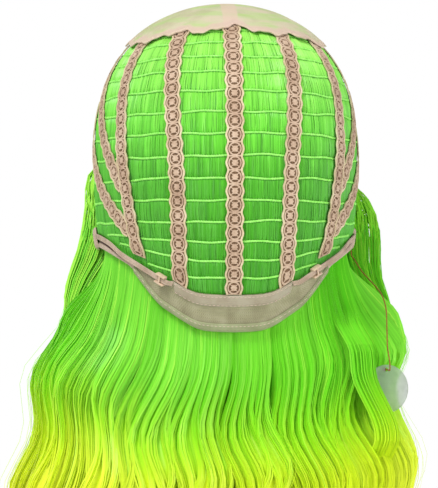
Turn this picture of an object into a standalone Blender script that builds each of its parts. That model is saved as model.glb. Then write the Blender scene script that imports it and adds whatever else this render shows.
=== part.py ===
"""Costume wig, shown with its cap turned inside out.

The cap is sewn over a head form: weft rows of hair ring the back of the head, lace straps hold the
rows together, a sheer net closes the crown and a lace panel the forehead. A nape band, side bands,
ear tabs and elastic adjuster straps with two-slot sliders close the lower edge. The long hair hangs
out from under the rim, and a round tag hangs on a thread from the right ear tab.

Metres, +Z up. The origin is the middle of the head form at its widest level. The nape faces -Y and
the face opening +Y. Angles are measured about Z from the back centre, positive towards +X.
"""

import bmesh
import bpy
from math import acos, atan2, ceil, cos, exp, hypot, pi, radians, sin, sqrt
from mathutils import Matrix, Vector

# Head form that the cap is sewn to
HEAD_HALF_WIDTH = 0.0825
HEAD_HALF_DEPTH = 0.097
CROWN_HEIGHT = 0.106
CROWN_FULLNESS = 2.85
NAPE_TAPER = 0.150

# Fit between pieces that are sewn or laid on each other
CLEARANCE = 0.00035

# Crown net and the lace panel over the forehead
CROWN_DROP_BACK = 0.017
CROWN_DROP_SIDE = 0.025
CROWN_DROP_FRONT = 0.010
CROWN_SIDE_ANGLE = radians(70)
NET_THICKNESS = 0.0006
EDGE_TUCK = 0.006
LACE_THICKNESS = 0.0008
FRONT_ANGLE = radians(105)
FOREHEAD_RIM = 0.062
TEMPLE_RIM = -0.034
FRONT_BINDING_WIDTH = 0.006
FRONT_BINDING_THICKNESS = 0.0008

# Weft rows: a panel of short hair under a stitched header
ROW_COUNT = 15
ROW_DEPTH = 0.0022
ROW_END_HEIGHT = 0.004
HEADER_HEIGHT = 0.0022
HEADER_PROUD = 0.0007
ROW_CROWDING = 0.10
ROW_FOLLOW = 0.60
ROW_FOLLOW_FROM = 0.72

# Lace straps sewn down over the rows
STRAP_WIDTH = 0.0125
STRAP_THICKNESS = 0.0008
INNER_STRAP_ANGLES = (34.5, 24.8, 25.6)
OUTER_STRAP_ANGLES = (62, 51.5, 46)
SIDE_STRAP_ANGLES = (92, 58, 53.5)
TEMPLE_STRAP_ANGLES = (100, 77.3, 50.5)
SIDE_STRAP_END = -0.008
TEMPLE_STRAP_TOP = 0.045
TEMPLE_STRAP_END = -0.035
INNER_STRAP_SLANT = 0.55
OUTER_STRAP_SLANT = 0.5
OUTER_CLIMB_FROM = 0.032
OUTER_CLIMB = 0.018
OUTER_FALL = 0.008
STRAP_CELL = 0.008

# Nape band, side bands and the tapes on them
NAPE_TOP = -0.0744
EAR_BAND_TOP = -0.0366
BAND_RISE_FROM = 0.34
BAND_RISE_EASE = 0.10
NAPE_WIDTH = 0.0223
NAPE_HALF_ANGLE = radians(50)
NARROW_FROM = radians(35.5)
NARROW_TO = radians(55.5)
BAND_THICKNESS = 0.0012
UPPER_TAPE_WIDTH = 0.007
UPPER_TAPE_THICKNESS = 0.0008
UPPER_TAPE_HALF_ANGLE = radians(28.5)
LOWER_BINDING_WIDTH = 0.005
LOWER_BINDING_THICKNESS = 0.0012
SIDE_BAND_WIDTH = 0.0034
SIDE_BAND_END = radians(98)
BAND_SLOT = 0.0018

# Ear tabs: sewn pockets, each with a bendable stay inside
EAR_TAB_ANGLE = radians(98.5)
EAR_TAB_LEVEL = -0.039
EAR_TAB_WIDTH = 0.016
EAR_TAB_HEIGHT = 0.014
EAR_TAB_WALL = 0.0007
STAY_THICKNESS = 0.0006
STAY_WIDTH = 0.006

# Elastic adjuster straps, straight where their sliders run
ELASTIC_WIDTH = 0.0036
ELASTIC_THICKNESS = 0.0009
ELASTIC_ANCHOR = radians(29.2)
RUN_NAPE_END = radians(31.5)
RUN_EAR_END = radians(52)
ELASTIC_SETTLE = radians(70)

# Two-slot adjuster sliders: rails beside the strap, end bars under it, one bar over it
SLIDER_LENGTH = 0.0070
SLIDER_BAR = 0.0010
SLIDER_PLATE = 0.0009
SLIDER_REST_LEFT = 0.0042
SLIDER_REST_RIGHT = 0.0150

# Hanging hair, in locks that share wavy edges
LOCK_COUNT = 16
LOCK_HALF_THICKNESS = 0.008
LOCK_GAP = 0.0014
LOCK_TIP_FULLNESS = 3.0
LOCK_TIP_WIDTH = 3.6
HAIR_TIP = -0.355
HAIR_TIP_SPREAD = 0.012
HAIR_ROOT_TUCK = 0.010
HAIR_SIDE_REACH = 0.094
HAIR_SIDE_SPREAD = 0.034
HAIR_BACK_REACH = 0.074
HAIR_BACK_SPREAD = 0.014
HAIR_FRONT_REACH = 0.086
HAIR_SPREAD_LENGTH = 0.070
HAIR_FLARE = 0.039
HAIR_LEAN = -0.009
HAIR_RIM_GAP = 0.002
HAIR_SWEEP = 0.26
HAIR_SWEEP_LENGTH = 0.10
LACE_ROOT_ANGLE = radians(12)
WAVE_START = -0.047
WAVE_LENGTH = 0.070
WAVE_DEPTH = 0.0035
WAVE_SWAY = radians(2.6)

# Round tag on its thread
TAG_DIAMETER = 0.030
TAG_THICKNESS = 0.0008
TAG_HOLE_DIAMETER = 0.0026
TAG_HOLE_REACH = 0.012
TAG_TURN = radians(22)
THREAD_DIAMETER = 0.0010
THREAD_POINT_SPACING = 0.0026
KNOT_DIAMETER = 0.0034

# Thread route below the right ear tab, down to the hole of the tag
THREAD_ROUTE = (
    (0.0830, 0.0088, -0.0530),
    (0.0872, 0.0016, -0.0605),
    (0.0946, -0.0142, -0.0702),
    (0.0977, -0.0231, -0.0761),
    (0.0992, -0.0306, -0.0846),
    (0.0989, -0.0384, -0.0970),
    (0.0985, -0.0455, -0.1070),
    (0.0991, -0.0518, -0.1150),
    (0.0992, -0.0535, -0.1212),
)

# Heights of the crown net's edge
CROWN_EDGE_BACK = CROWN_HEIGHT - CROWN_DROP_BACK
CROWN_EDGE_SIDE = CROWN_HEIGHT - CROWN_DROP_SIDE
CROWN_EDGE_FRONT = CROWN_HEIGHT - CROWN_DROP_FRONT

# Sewn layers, as heights over the head form
STRAP_LAYER = HEADER_PROUD + CLEARANCE
SECOND_STRAP_LAYER = STRAP_LAYER + STRAP_THICKNESS + CLEARANCE
CROWN_LAYER = SECOND_STRAP_LAYER + CLEARANCE
FRONT_BINDING_LAYER = LACE_THICKNESS + CLEARANCE
TAPE_LAYER = BAND_THICKNESS + CLEARANCE
EAR_TAB_THICKNESS = 2 * EAR_TAB_WALL + STAY_THICKNESS + 2 * CLEARANCE
SIDE_WIDTH = ELASTIC_WIDTH + BAND_SLOT + SIDE_BAND_WIDTH
SLIDER_HALF_WIDTH = ELASTIC_WIDTH / 2 + CLEARANCE + SLIDER_BAR


# Head form and the lines drawn on it


def smooth(share):
    """Ease from 0 to 1."""
    share = min(1.0, max(0.0, share))
    return share * share * (3 - 2 * share)


def mix(first, second, share):
    return first + (second - first) * share


def turn_of(angle):
    """Angle from the back centre, without its side."""
    angle = abs(angle) % (2 * pi)
    return min(angle, 2 * pi - angle)


def head_share(z):
    """Share of the widest section that is left at a height."""
    if z < 0:
        return sqrt(1 - (z / NAPE_TAPER) ** 2)
    return sqrt(max(0.0, 1 - (z / CROWN_HEIGHT) ** CROWN_FULLNESS))


def head_normal(point):
    """Outward direction of the head form at a point on it."""
    if point.z < 0:
        rise = point.z / NAPE_TAPER ** 2
    else:
        rise = CROWN_FULLNESS / 2 * (point.z / CROWN_HEIGHT) ** (CROWN_FULLNESS - 1) / CROWN_HEIGHT
    return Vector((point.x / HEAD_HALF_WIDTH ** 2, point.y / HEAD_HALF_DEPTH ** 2, rise)).normalized()


def on_head(angle, z, lift=0.0):
    """Point at an angle and a height, lifted off the head form."""
    share = head_share(z)
    point = Vector((HEAD_HALF_WIDTH * share * sin(angle), -HEAD_HALF_DEPTH * share * cos(angle), z))
    return point + head_normal(point) * lift


def draped(point, lift):
    """Point laid on the head form at its own angle and height, then lifted."""
    angle = atan2(point.x / HEAD_HALF_WIDTH, -point.y / HEAD_HALF_DEPTH)
    return on_head(angle, point.z, lift)


def girth(angle, z):
    """Length round the head for each radian of angle."""
    stretch = hypot(HEAD_HALF_WIDTH * cos(angle), HEAD_HALF_DEPTH * sin(angle))
    return stretch * head_share(z)


def crown_edge(angle):
    """Height of the crown net's edge, lowest at the sides."""
    turn = turn_of(angle)
    if turn < CROWN_SIDE_ANGLE:
        return mix(CROWN_EDGE_BACK, CROWN_EDGE_SIDE, (turn / CROWN_SIDE_ANGLE) ** 2)
    forward = (turn - CROWN_SIDE_ANGLE) / (pi - CROWN_SIDE_ANGLE)
    return mix(CROWN_EDGE_SIDE, CROWN_EDGE_FRONT, smooth(forward))


def band_top(angle):
    """Height of the upper edge of the nape band and of the elastic, which rises to the ears."""
    aside = sin(min(turn_of(angle), pi / 2))
    eased = [hypot(share - BAND_RISE_FROM, BAND_RISE_EASE) + share for share in (0, aside, 1)]
    return mix(NAPE_TOP, EAR_BAND_TOP, (eased[1] - eased[0]) / (eased[2] - eased[0]))


def band_bottom(angle):
    narrowing = (turn_of(angle) - NARROW_FROM) / (NARROW_TO - NARROW_FROM)
    return band_top(angle) - mix(NAPE_WIDTH, SIDE_WIDTH, smooth(narrowing))


def front_rim(angle):
    """Height of the cap's edge round the face, highest over the forehead."""
    forward = max(0.0, turn_of(angle) - FRONT_ANGLE) / (pi - FRONT_ANGLE)
    return mix(TEMPLE_RIM, FOREHEAD_RIM, (1 - cos(pi * forward)) / 2)


def cap_rim(angle):
    """Height of the cap's lower edge all the way round, under the ear tabs too."""
    turn = turn_of(angle)
    past_ear = (turn - SIDE_BAND_END) / (FRONT_ANGLE - SIDE_BAND_END)
    rim = mix(band_bottom(min(turn, FRONT_ANGLE)), front_rim(angle), smooth(past_ear))
    beside_tab = abs(turn - EAR_TAB_ANGLE) * girth(EAR_TAB_ANGLE, EAR_TAB_LEVEL) - EAR_TAB_WIDTH / 2
    tab_low = EAR_TAB_LEVEL - EAR_TAB_HEIGHT / 2
    return mix(min(rim, tab_low), rim, smooth(beside_tab / EAR_TAB_WIDTH))


# Objects and materials


def fresh_collection(name):
    collection = bpy.data.collections.new(name)
    bpy.context.scene.collection.children.link(collection)
    return collection


def finish(name, colour, roughness, metallic=0.0):
    """Plain material of a piece."""
    material = bpy.data.materials.new(name)
    material.use_nodes = True
    shader = material.node_tree.nodes["Principled BSDF"]
    shader.inputs["Base Color"].default_value = (*colour, 1.0)
    shader.inputs["Roughness"].default_value = roughness
    shader.inputs["Metallic"].default_value = metallic
    return material


def add_piece(name, data, material, collection=None, place=None):
    """Object of one piece, held by the wig's own empty."""
    piece = bpy.data.objects.new(name, data)
    (collection or wig_parts).objects.link(piece)
    piece.parent = wig_root
    piece.matrix_world = place or Matrix.Identity(4)
    piece.data.materials.append(material)
    return piece


def mesh_from(work, name):
    """Mesh of a finished bmesh, closed, facing out and shaded smooth."""
    work.normal_update()
    bmesh.ops.recalc_face_normals(work, faces=work.faces)
    mesh = bpy.data.meshes.new(name)
    work.to_mesh(mesh)
    work.free()
    mesh.shade_smooth()
    mesh.set_sharp_from_angle(angle=radians(40))
    return mesh


def bent_slab(name, across, along, place):
    """Flat slab of across by along cells, bent by place(share across, share along, share through)."""
    work = bmesh.new()
    bmesh.ops.create_grid(work, x_segments=across, y_segments=along, size=0.5)
    grown = bmesh.ops.extrude_face_region(work, geom=work.faces[:])
    top = [item for item in grown["geom"] if isinstance(item, bmesh.types.BMVert)]
    bmesh.ops.translate(work, verts=top, vec=(0, 0, 1))
    for corner in work.verts:
        corner.co = place(corner.co.x + 0.5, corner.co.y + 0.5, corner.co.z)
    return mesh_from(work, name)


def band_slab(name, first, last, low, high, lift, thickness, cells, rows=1):
    """Slab laid on the head between two angles and between two edge lines."""
    def place(across, along, through):
        angle = mix(first, last, across)
        return on_head(angle, mix(low(angle), high(angle), along), lift + thickness * through)
    return bent_slab(name, cells, rows, place)


def box_mesh(work, low, high):
    """Box between two corners, added to a bmesh."""
    low, high = Vector(low), Vector(high)
    made = bmesh.ops.create_cube(work, size=1.0)
    for corner in made["verts"]:
        shares = corner.co + Vector((0.5, 0.5, 0.5))
        corner.co = Vector(mix(low[axis], high[axis], shares[axis]) for axis in range(3))


def box_cutter(name, low, high, place):
    """Guide box that joins a frame, left out of the wig itself."""
    work = bmesh.new()
    box_mesh(work, low, high)
    return guide(name, mesh_from(work, name), place)


def guide(name, mesh, place=None):
    """Hidden shape that cuts or joins a piece."""
    piece = add_piece(name, mesh, guide_finish, wig_guides, place)
    piece.hide_render = True
    piece.display_type = "WIRE"
    return piece


def combine(piece, other, operation):
    step = piece.modifiers.new(other.name, "BOOLEAN")
    step.operation = operation
    step.solver = "EXACT"
    step.object = other


SIDES = (("left", -1), ("right", 1))

for leftover in list(bpy.data.objects):
    bpy.data.objects.remove(leftover, do_unlink=True)

wig_parts = fresh_collection("costume_wig")
wig_guides = fresh_collection("costume_wig_guides")
wig_root = bpy.data.objects.new("costume_wig", None)
wig_parts.objects.link(wig_root)

net_finish = finish("sheer_net", (0.62, 0.50, 0.38), 0.8)
lace_finish = finish("lace", (0.55, 0.38, 0.27), 0.8)
weft_finish = finish("weft_hair", (0.12, 0.62, 0.03), 0.45)
tape_finish = finish("woven_tape", (0.64, 0.47, 0.37), 0.8)
band_finish = finish("nape_panel", (0.50, 0.40, 0.24), 0.85)
elastic_finish = finish("elastic", (0.52, 0.38, 0.26), 0.75)
slider_finish = finish("slider_plastic", (0.66, 0.48, 0.33), 0.4)
stay_finish = finish("stay_metal", (0.6, 0.6, 0.6), 0.35, 1.0)
hair_finish = finish("hanging_hair", (0.25, 0.72, 0.03), 0.45)
thread_finish = finish("tag_thread", (0.34, 0.13, 0.03), 0.7)
tag_finish = finish("tag_plastic", (0.55, 0.57, 0.55), 0.3)
guide_finish = finish("guide", (0.5, 0.5, 0.5), 0.5)


# Crown net: one sheer disc, pulled down to the crown edge


def crown_point(across, along, through):
    """Square cell sheet rounded to a disc, then laid over the crown."""
    x, y = 2 * across - 1, 2 * along - 1
    disc = Vector((x * sqrt(1 - y * y / 2), y * sqrt(1 - x * x / 2)))
    angle = atan2(disc.x, -disc.y) if disc.length else 0.0
    share = min(1.0, disc.length) * head_share(crown_edge(angle))
    z = CROWN_HEIGHT * max(0.0, 1 - share ** 2) ** (1 / CROWN_FULLNESS)
    return on_head(angle, z, CROWN_LAYER + NET_THICKNESS * through)


add_piece("crown_net", bent_slab("crown_net", 14, 14, crown_point), net_finish)


# Front lace from ear to ear, and the binding along its edge


def tucked_edge(angle):
    """Height at which a piece ends under the crown net."""
    return crown_edge(angle) + EDGE_TUCK


def front_binding_top(angle):
    return front_rim(angle) + FRONT_BINDING_WIDTH


front_cells = 22
add_piece("front_lace", band_slab(
    "front_lace", FRONT_ANGLE, 2 * pi - FRONT_ANGLE, front_rim, tucked_edge, 0.0, LACE_THICKNESS,
    front_cells, 5), lace_finish)
add_piece("front_binding", band_slab(
    "front_binding", FRONT_ANGLE, 2 * pi - FRONT_ANGLE, front_rim, front_binding_top,
    FRONT_BINDING_LAYER, FRONT_BINDING_THICKNESS, front_cells), tape_finish)


# Weft rows, spaced evenly down the back of the head


def even_heights(line, top, bottom, count, crowding=0.0):
    """Heights that part a line down the head into equal lengths, or into closer ones at its ends."""
    steps = 400
    heights = [mix(top, bottom, step / steps) for step in range(steps + 1)]
    lengths = [0.0]
    for above, below in zip(heights, heights[1:]):
        lengths.append(lengths[-1] + (line(above) - line(below)).length)
    shares = [part / count for part in range(count + 1)]
    marks = [lengths[-1] * (share - crowding * sin(2 * pi * share) / (2 * pi)) for share in shares]
    return [heights[sum(length < mark for length in lengths)] for mark in marks]


def back_line(z):
    return on_head(0.0, z)


ROW_HEIGHTS = even_heights(back_line, CROWN_EDGE_BACK + EDGE_TUCK, NAPE_TOP, ROW_COUNT, ROW_CROWDING)


def row_top(row, angle):
    """Header line of a row: at the sides the upper rows dip with the crown edge, the lowest rise."""
    down = row / ROW_COUNT
    dip = CROWN_EDGE_BACK - crown_edge(angle)
    follow = ROW_FOLLOW * smooth((down - ROW_FOLLOW_FROM) / (1 - ROW_FOLLOW_FROM))
    return ROW_HEIGHTS[row] - dip * (1 - down) ** 2 + (band_top(angle) - NAPE_TOP) * follow


def row_bottom(row, angle):
    return max(row_top(row + 1, angle), band_top(angle)) + CLEARANCE


def row_end(row):
    """Angle at which a row runs out at the band, or at the front lace."""
    near, far = 0.0, FRONT_ANGLE - CLEARANCE / girth(FRONT_ANGLE, 0)
    if row_top(row, far) - row_bottom(row, far) > ROW_END_HEIGHT:
        return far
    for _ in range(40):
        middle = (near + far) / 2
        if row_top(row, middle) - row_bottom(row, middle) > ROW_END_HEIGHT:
            near = middle
        else:
            far = middle
    return near


def weft_row(name, row):
    """Row of hair whose header stands proud along its upper edge."""
    end = row_end(row)

    def place(across, along, through):
        angle = mix(-end, end, across)
        top = row_top(row, angle)
        heights = (row_bottom(row, angle), top - HEADER_HEIGHT, top)
        outer = (0.0, HEADER_PROUD / 4, HEADER_PROUD)
        level = round(along * 2)
        return on_head(angle, heights[level], mix(-ROW_DEPTH, outer[level], through))
    return bent_slab(name, ceil(2 * end / radians(9.5)), 2, place)


for row in range(ROW_COUNT):
    row_name = f"weft_row_{row + 1:02d}"
    add_piece(row_name, weft_row(row_name, row), weft_finish)


# Lace straps: on each side two run out under the outer one


def through_three(points, z):
    """Smooth line through three (height, angle) points."""
    total = 0.0
    for height, angle in points:
        weight = 1.0
        for other, _ in points:
            if other != height:
                weight *= (z - other) / (height - other)
        total += angle * weight
    return total


def strap(name, course, layer):
    """Strap of even width along a course of (height, angle) points."""
    top, bottom = course[0][0], course[-1][0]

    def centre(z):
        return on_head(through_three(course, z), z)

    cells = ceil((top - bottom) / STRAP_CELL)
    levels = even_heights(centre, top, bottom, cells)

    def place(across, along, through):
        z = levels[round((1 - along) * cells)]
        above, below = min(top, z + STRAP_CELL / 10), max(bottom, z - STRAP_CELL / 10)
        direction = (centre(above) - centre(below)).normalized()
        sideways = direction.cross(head_normal(centre(z))).normalized()
        edge = centre(z) + sideways * STRAP_WIDTH * (across - 0.5)
        return draped(edge, layer(z) + STRAP_THICKNESS * through)
    return add_piece(name, bent_slab(name, 2, cells, place), lace_finish)


def flat_layer(_):
    return STRAP_LAYER


def outer_layer(z):
    """The outer strap crosses over the ends of the side and temple straps, then comes down again."""
    climb = smooth((OUTER_CLIMB_FROM - z) / OUTER_CLIMB)
    fall = smooth((TEMPLE_STRAP_END - 0.8 * STRAP_WIDTH - z) / OUTER_FALL)
    return mix(STRAP_LAYER, SECOND_STRAP_LAYER, climb * (1 - fall))


def course_to_band(angles, end_gap):
    """Course from under the crown net down to the band."""
    top, level, end = (radians(angle) for angle in angles)
    return ((tucked_edge(top), top), (0.0, level), (band_top(end) + end_gap, end))


def course_between(angles, start, stop):
    """Course between two heights."""
    top, level, end = (radians(angle) for angle in angles)
    return ((start, top), (0.0, level), (stop, end))


def mirrored(course, side):
    return tuple((height, angle * side) for height, angle in course)


slider_room = SLIDER_HALF_WIDTH - ELASTIC_WIDTH / 2 + 3 * CLEARANCE
band_room = 2 * CLEARANCE
inner_course = course_to_band(INNER_STRAP_ANGLES, band_room + INNER_STRAP_SLANT * STRAP_WIDTH / 2)
outer_course = course_to_band(OUTER_STRAP_ANGLES, slider_room + OUTER_STRAP_SLANT * STRAP_WIDTH / 2)
side_top = tucked_edge(radians(SIDE_STRAP_ANGLES[0]))
side_course = course_between(SIDE_STRAP_ANGLES, side_top, SIDE_STRAP_END)
temple_course = course_between(TEMPLE_STRAP_ANGLES, TEMPLE_STRAP_TOP, TEMPLE_STRAP_END)

strap("centre_strap", course_to_band((0, 0, 0), band_room), flat_layer)
for side_name, side in SIDES:
    strap(f"inner_strap_{side_name}", mirrored(inner_course, side), flat_layer)
    strap(f"outer_strap_{side_name}", mirrored(outer_course, side), outer_layer)
    strap(f"side_strap_{side_name}", mirrored(side_course, side), flat_layer)
    strap(f"temple_strap_{side_name}", mirrored(temple_course, side), flat_layer)


# Nape band with its tape and binding, and the side bands beyond it


def upper_tape_bottom(angle):
    return band_top(angle) - UPPER_TAPE_WIDTH


def lower_binding_top(angle):
    return band_bottom(angle) + LOWER_BINDING_WIDTH


def side_band_top(angle):
    return band_bottom(angle) + SIDE_BAND_WIDTH


nape_cells = 14
add_piece("nape_band", band_slab(
    "nape_band", -NAPE_HALF_ANGLE, NAPE_HALF_ANGLE, band_bottom, band_top, 0.0, BAND_THICKNESS,
    nape_cells, 2), band_finish)
add_piece("nape_upper_tape", band_slab(
    "nape_upper_tape", -UPPER_TAPE_HALF_ANGLE, UPPER_TAPE_HALF_ANGLE, upper_tape_bottom, band_top,
    TAPE_LAYER, UPPER_TAPE_THICKNESS, nape_cells // 2), tape_finish)
add_piece("nape_lower_binding", band_slab(
    "nape_lower_binding", -NAPE_HALF_ANGLE, NAPE_HALF_ANGLE, band_bottom, lower_binding_top,
    TAPE_LAYER, LOWER_BINDING_THICKNESS, nape_cells), tape_finish)

side_band_start = NAPE_HALF_ANGLE + CLEARANCE / girth(NAPE_HALF_ANGLE, band_bottom(NAPE_HALF_ANGLE))
for side_name, side in SIDES:
    name = f"side_band_{side_name}"
    add_piece(name, band_slab(
        name, side * side_band_start, side * SIDE_BAND_END, band_bottom, side_band_top, 0.0,
        BAND_THICKNESS, 8), tape_finish)


# Ear tabs: pockets open at the top, with a stay in each


def tab_slab(name, side, width, low, high, lift, thickness):
    """Slab centred on the ear tab's angle."""
    half = width / 2 / girth(EAR_TAB_ANGLE, EAR_TAB_LEVEL)
    return band_slab(
        name, side * (EAR_TAB_ANGLE - half), side * (EAR_TAB_ANGLE + half), lambda angle: low,
        lambda angle: high, lift, thickness, 3, 3)


tab_low = EAR_TAB_LEVEL - EAR_TAB_HEIGHT / 2
tab_high = EAR_TAB_LEVEL + EAR_TAB_HEIGHT / 2
tab_hem = 2 * EAR_TAB_WALL
pocket_lift = TAPE_LAYER + EAR_TAB_WALL
for side_name, side in SIDES:
    name = f"ear_tab_{side_name}"
    tab = add_piece(name, tab_slab(
        name, side, EAR_TAB_WIDTH, tab_low, tab_high, TAPE_LAYER, EAR_TAB_THICKNESS), tape_finish)
    pocket = guide(f"pocket_{side_name}", tab_slab(
        f"pocket_{side_name}", side, STAY_WIDTH + 2 * CLEARANCE, tab_low + tab_hem, tab_high + tab_hem,
        pocket_lift, STAY_THICKNESS + 2 * CLEARANCE))
    combine(tab, pocket, "DIFFERENCE")
    stay_name = f"ear_tab_stay_{side_name}"
    add_piece(stay_name, tab_slab(
        stay_name, side, STAY_WIDTH, tab_low + tab_hem + CLEARANCE, tab_high - tab_hem,
        pocket_lift + CLEARANCE, STAY_THICKNESS), stay_finish)


# Elastic adjuster straps: anchored on the nape band, straight along the run, sewn to the ear tab


def elastic_level(angle):
    return band_top(angle) - ELASTIC_WIDTH / 2


def run_frame(side):
    """Ends of the straight run under the strap, and the frame of a slider on it."""
    first, last = side * RUN_NAPE_END, side * RUN_EAR_END
    middle = (first + last) / 2
    crest = on_head(middle, elastic_level(middle))
    out = head_normal(crest)
    chord = (on_head(first, elastic_level(first)) + on_head(last, elastic_level(last))) / 2
    room = BAND_THICKNESS + SLIDER_PLATE + 3 * CLEARANCE
    lift = room + (crest - chord).dot(out)
    start = on_head(first, elastic_level(first), lift)
    stop = on_head(last, elastic_level(last), lift)
    forward = (stop - start).normalized()
    sideways = out.cross(forward).normalized()
    return start, stop, lift, forward, sideways, forward.cross(sideways)


def elastic_strap(name, side):
    start, stop, lift, forward, sideways, out = run_frame(side)
    end_slant = 0.4 * ELASTIC_WIDTH / 2
    tab_reach = EAR_TAB_WIDTH / 2 + CLEARANCE + end_slant
    tab_edge = EAR_TAB_ANGLE - tab_reach / girth(EAR_TAB_ANGLE, EAR_TAB_LEVEL)
    climb = [mix(ELASTIC_ANCHOR, RUN_NAPE_END, step / 3) for step in range(4)]
    descent = [mix(RUN_EAR_END, tab_edge, step / 12) for step in range(13)]

    def underside(angle):
        if angle < RUN_NAPE_END:
            rise = smooth((angle - ELASTIC_ANCHOR) / (RUN_NAPE_END - ELASTIC_ANCHOR))
        else:
            rise = 1 - smooth((angle - RUN_EAR_END) / (ELASTIC_SETTLE - RUN_EAR_END))
        return on_head(side * angle, elastic_level(angle), mix(TAPE_LAYER, lift, rise))

    stations = []
    for angle in climb + descent:
        point = underside(angle)
        normal = head_normal(on_head(side * angle, elastic_level(angle)))
        if angle in (RUN_NAPE_END, RUN_EAR_END):
            normal = out
        stations.append((point, normal))

    def place(across, along, through):
        index = round(along * (len(stations) - 1))
        point, normal = stations[index]
        before = stations[max(0, index - 1)][0]
        after = stations[min(len(stations) - 1, index + 1)][0]
        width = normal.cross(after - before).normalized()
        if normal is out:
            width = sideways
        return point + width * ELASTIC_WIDTH * (across - 0.5) + normal * ELASTIC_THICKNESS * through
    add_piece(name, bent_slab(name, 1, len(stations) - 1, place), elastic_finish)


def adjuster_slider(name, side, rest):
    """Frame of two rails, two end bars under the elastic and one bar over it."""
    start, stop, lift, forward, sideways, out = run_frame(side)
    place = Matrix((forward, sideways, out)).transposed().to_4x4()
    place.translation = start + forward * rest
    half_length = SLIDER_LENGTH / 2
    inside = SLIDER_HALF_WIDTH - SLIDER_BAR
    under = -CLEARANCE - SLIDER_PLATE
    over = ELASTIC_THICKNESS + CLEARANCE
    work = bmesh.new()
    box_mesh(work, (-half_length, inside, under), (half_length, SLIDER_HALF_WIDTH, over + SLIDER_PLATE))
    slider = add_piece(name, mesh_from(work, name), slider_finish, place=place)
    bars = {
        "rail": ((-half_length, -SLIDER_HALF_WIDTH, under), (half_length, -inside, over + SLIDER_PLATE)),
        "nape_bar": ((-half_length, -inside - SLIDER_BAR / 2, under),
                     (-half_length + SLIDER_BAR, inside + SLIDER_BAR / 2, -CLEARANCE)),
        "ear_bar": ((half_length - SLIDER_BAR, -inside - SLIDER_BAR / 2, under),
                    (half_length, inside + SLIDER_BAR / 2, -CLEARANCE)),
        "top_bar": ((-SLIDER_BAR / 2, -inside - SLIDER_BAR / 2, over),
                    (SLIDER_BAR / 2, inside + SLIDER_BAR / 2, over + SLIDER_PLATE)),
    }
    for bar_name in ("nape_bar", "ear_bar", "top_bar", "rail"):
        low, high = bars[bar_name]
        combine(slider, box_cutter(f"{bar_name}_{name}", low, high, place), "UNION")


slider_rests = {"left": SLIDER_REST_LEFT, "right": SLIDER_REST_RIGHT}
for side_name, side in SIDES:
    elastic_strap(f"elastic_strap_{side_name}", side)
    adjuster_slider(f"adjuster_slider_{side_name}", side, slider_rests[side_name])


# Hanging hair: a ring of locks rooted inside the rim


def hair_wave(z):
    """Waves set in below the cap."""
    return smooth((WAVE_START - z) / WAVE_LENGTH)


def hair_surface(angle, z):
    """Outer side of the hair, and the level direction out of it. It's swept back as it hangs."""
    rim = cap_rim(angle)
    hang = angle - HAIR_SWEEP * sin(angle) * smooth((TEMPLE_RIM - z) / HAIR_SWEEP_LENGTH)
    past_lace = smooth((turn_of(angle) - FRONT_ANGLE) / LACE_ROOT_ANGLE)
    past_rows = smooth((band_top(angle) - max(z, rim)) / HAIR_ROOT_TUCK)
    depth = ROW_DEPTH * (1 - max(past_lace, past_rows)) + 2 * CLEARANCE
    inside = on_head(angle, max(z, rim), -depth)
    below = min(0.0, z - TEMPLE_RIM) / HAIR_SPREAD_LENGTH
    reach = HAIR_SIDE_REACH + HAIR_SIDE_SPREAD * (1 - exp(below))
    below_nape = min(0.0, z - NAPE_TOP + NAPE_WIDTH) / HAIR_SPREAD_LENGTH
    back = HAIR_BACK_REACH + HAIR_BACK_SPREAD * (1 - exp(below_nape))
    deep = back if cos(hang) > 0 else HAIR_FRONT_REACH
    lean = HAIR_LEAN * smooth((TEMPLE_RIM - z) / (2 * HAIR_SPREAD_LENGTH))
    outside = Vector((lean + reach * sin(hang), -deep * cos(hang), 0))
    ripple = WAVE_DEPTH * hair_wave(z) * sin(2 * pi * z / WAVE_LENGTH + 3 * hang)
    level_out = Vector((sin(hang) / reach, -cos(hang) / deep, 0)).normalized()
    share = smooth((rim - z - HAIR_RIM_GAP) / HAIR_FLARE)
    point = mix(inside, outside + level_out * ripple, share)
    point.z = inside.z if z >= rim else z
    return point, level_out


def lock_edge(index, z):
    """Angle of the shared edge between two locks."""
    phase = 2.4 * (index % LOCK_COUNT)
    sway = WAVE_SWAY * hair_wave(z) * sin(2 * pi * z / WAVE_LENGTH + phase)
    return 2 * pi * index / LOCK_COUNT + sway


TUCKED_RINGS = 2
FLARE_RINGS = 5
LENGTH_RINGS = 13
LOCK_RINGS = TUCKED_RINGS + FLARE_RINGS + LENGTH_RINGS
LOCK_SIDES = 6
LOCK_FLAT = cos(pi / LOCK_SIDES)


def lock_level(angle, ring):
    """Height of a ring of a lock: under the cap, then through the flare, then down to the tip."""
    rim = cap_rim(angle)
    root = max(rim, band_top(angle)) + HAIR_ROOT_TUCK
    flared = rim - HAIR_RIM_GAP - HAIR_FLARE * 1.2
    if ring <= TUCKED_RINGS:
        return mix(root, rim, ring / TUCKED_RINGS)
    if ring <= TUCKED_RINGS + FLARE_RINGS:
        passed = (ring - TUCKED_RINGS - 1) / (FLARE_RINGS - 1)
        return mix(rim - HAIR_RIM_GAP, flared, passed)
    return mix(flared, HAIR_TIP, (ring - TUCKED_RINGS - FLARE_RINGS) / LENGTH_RINGS)


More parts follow.
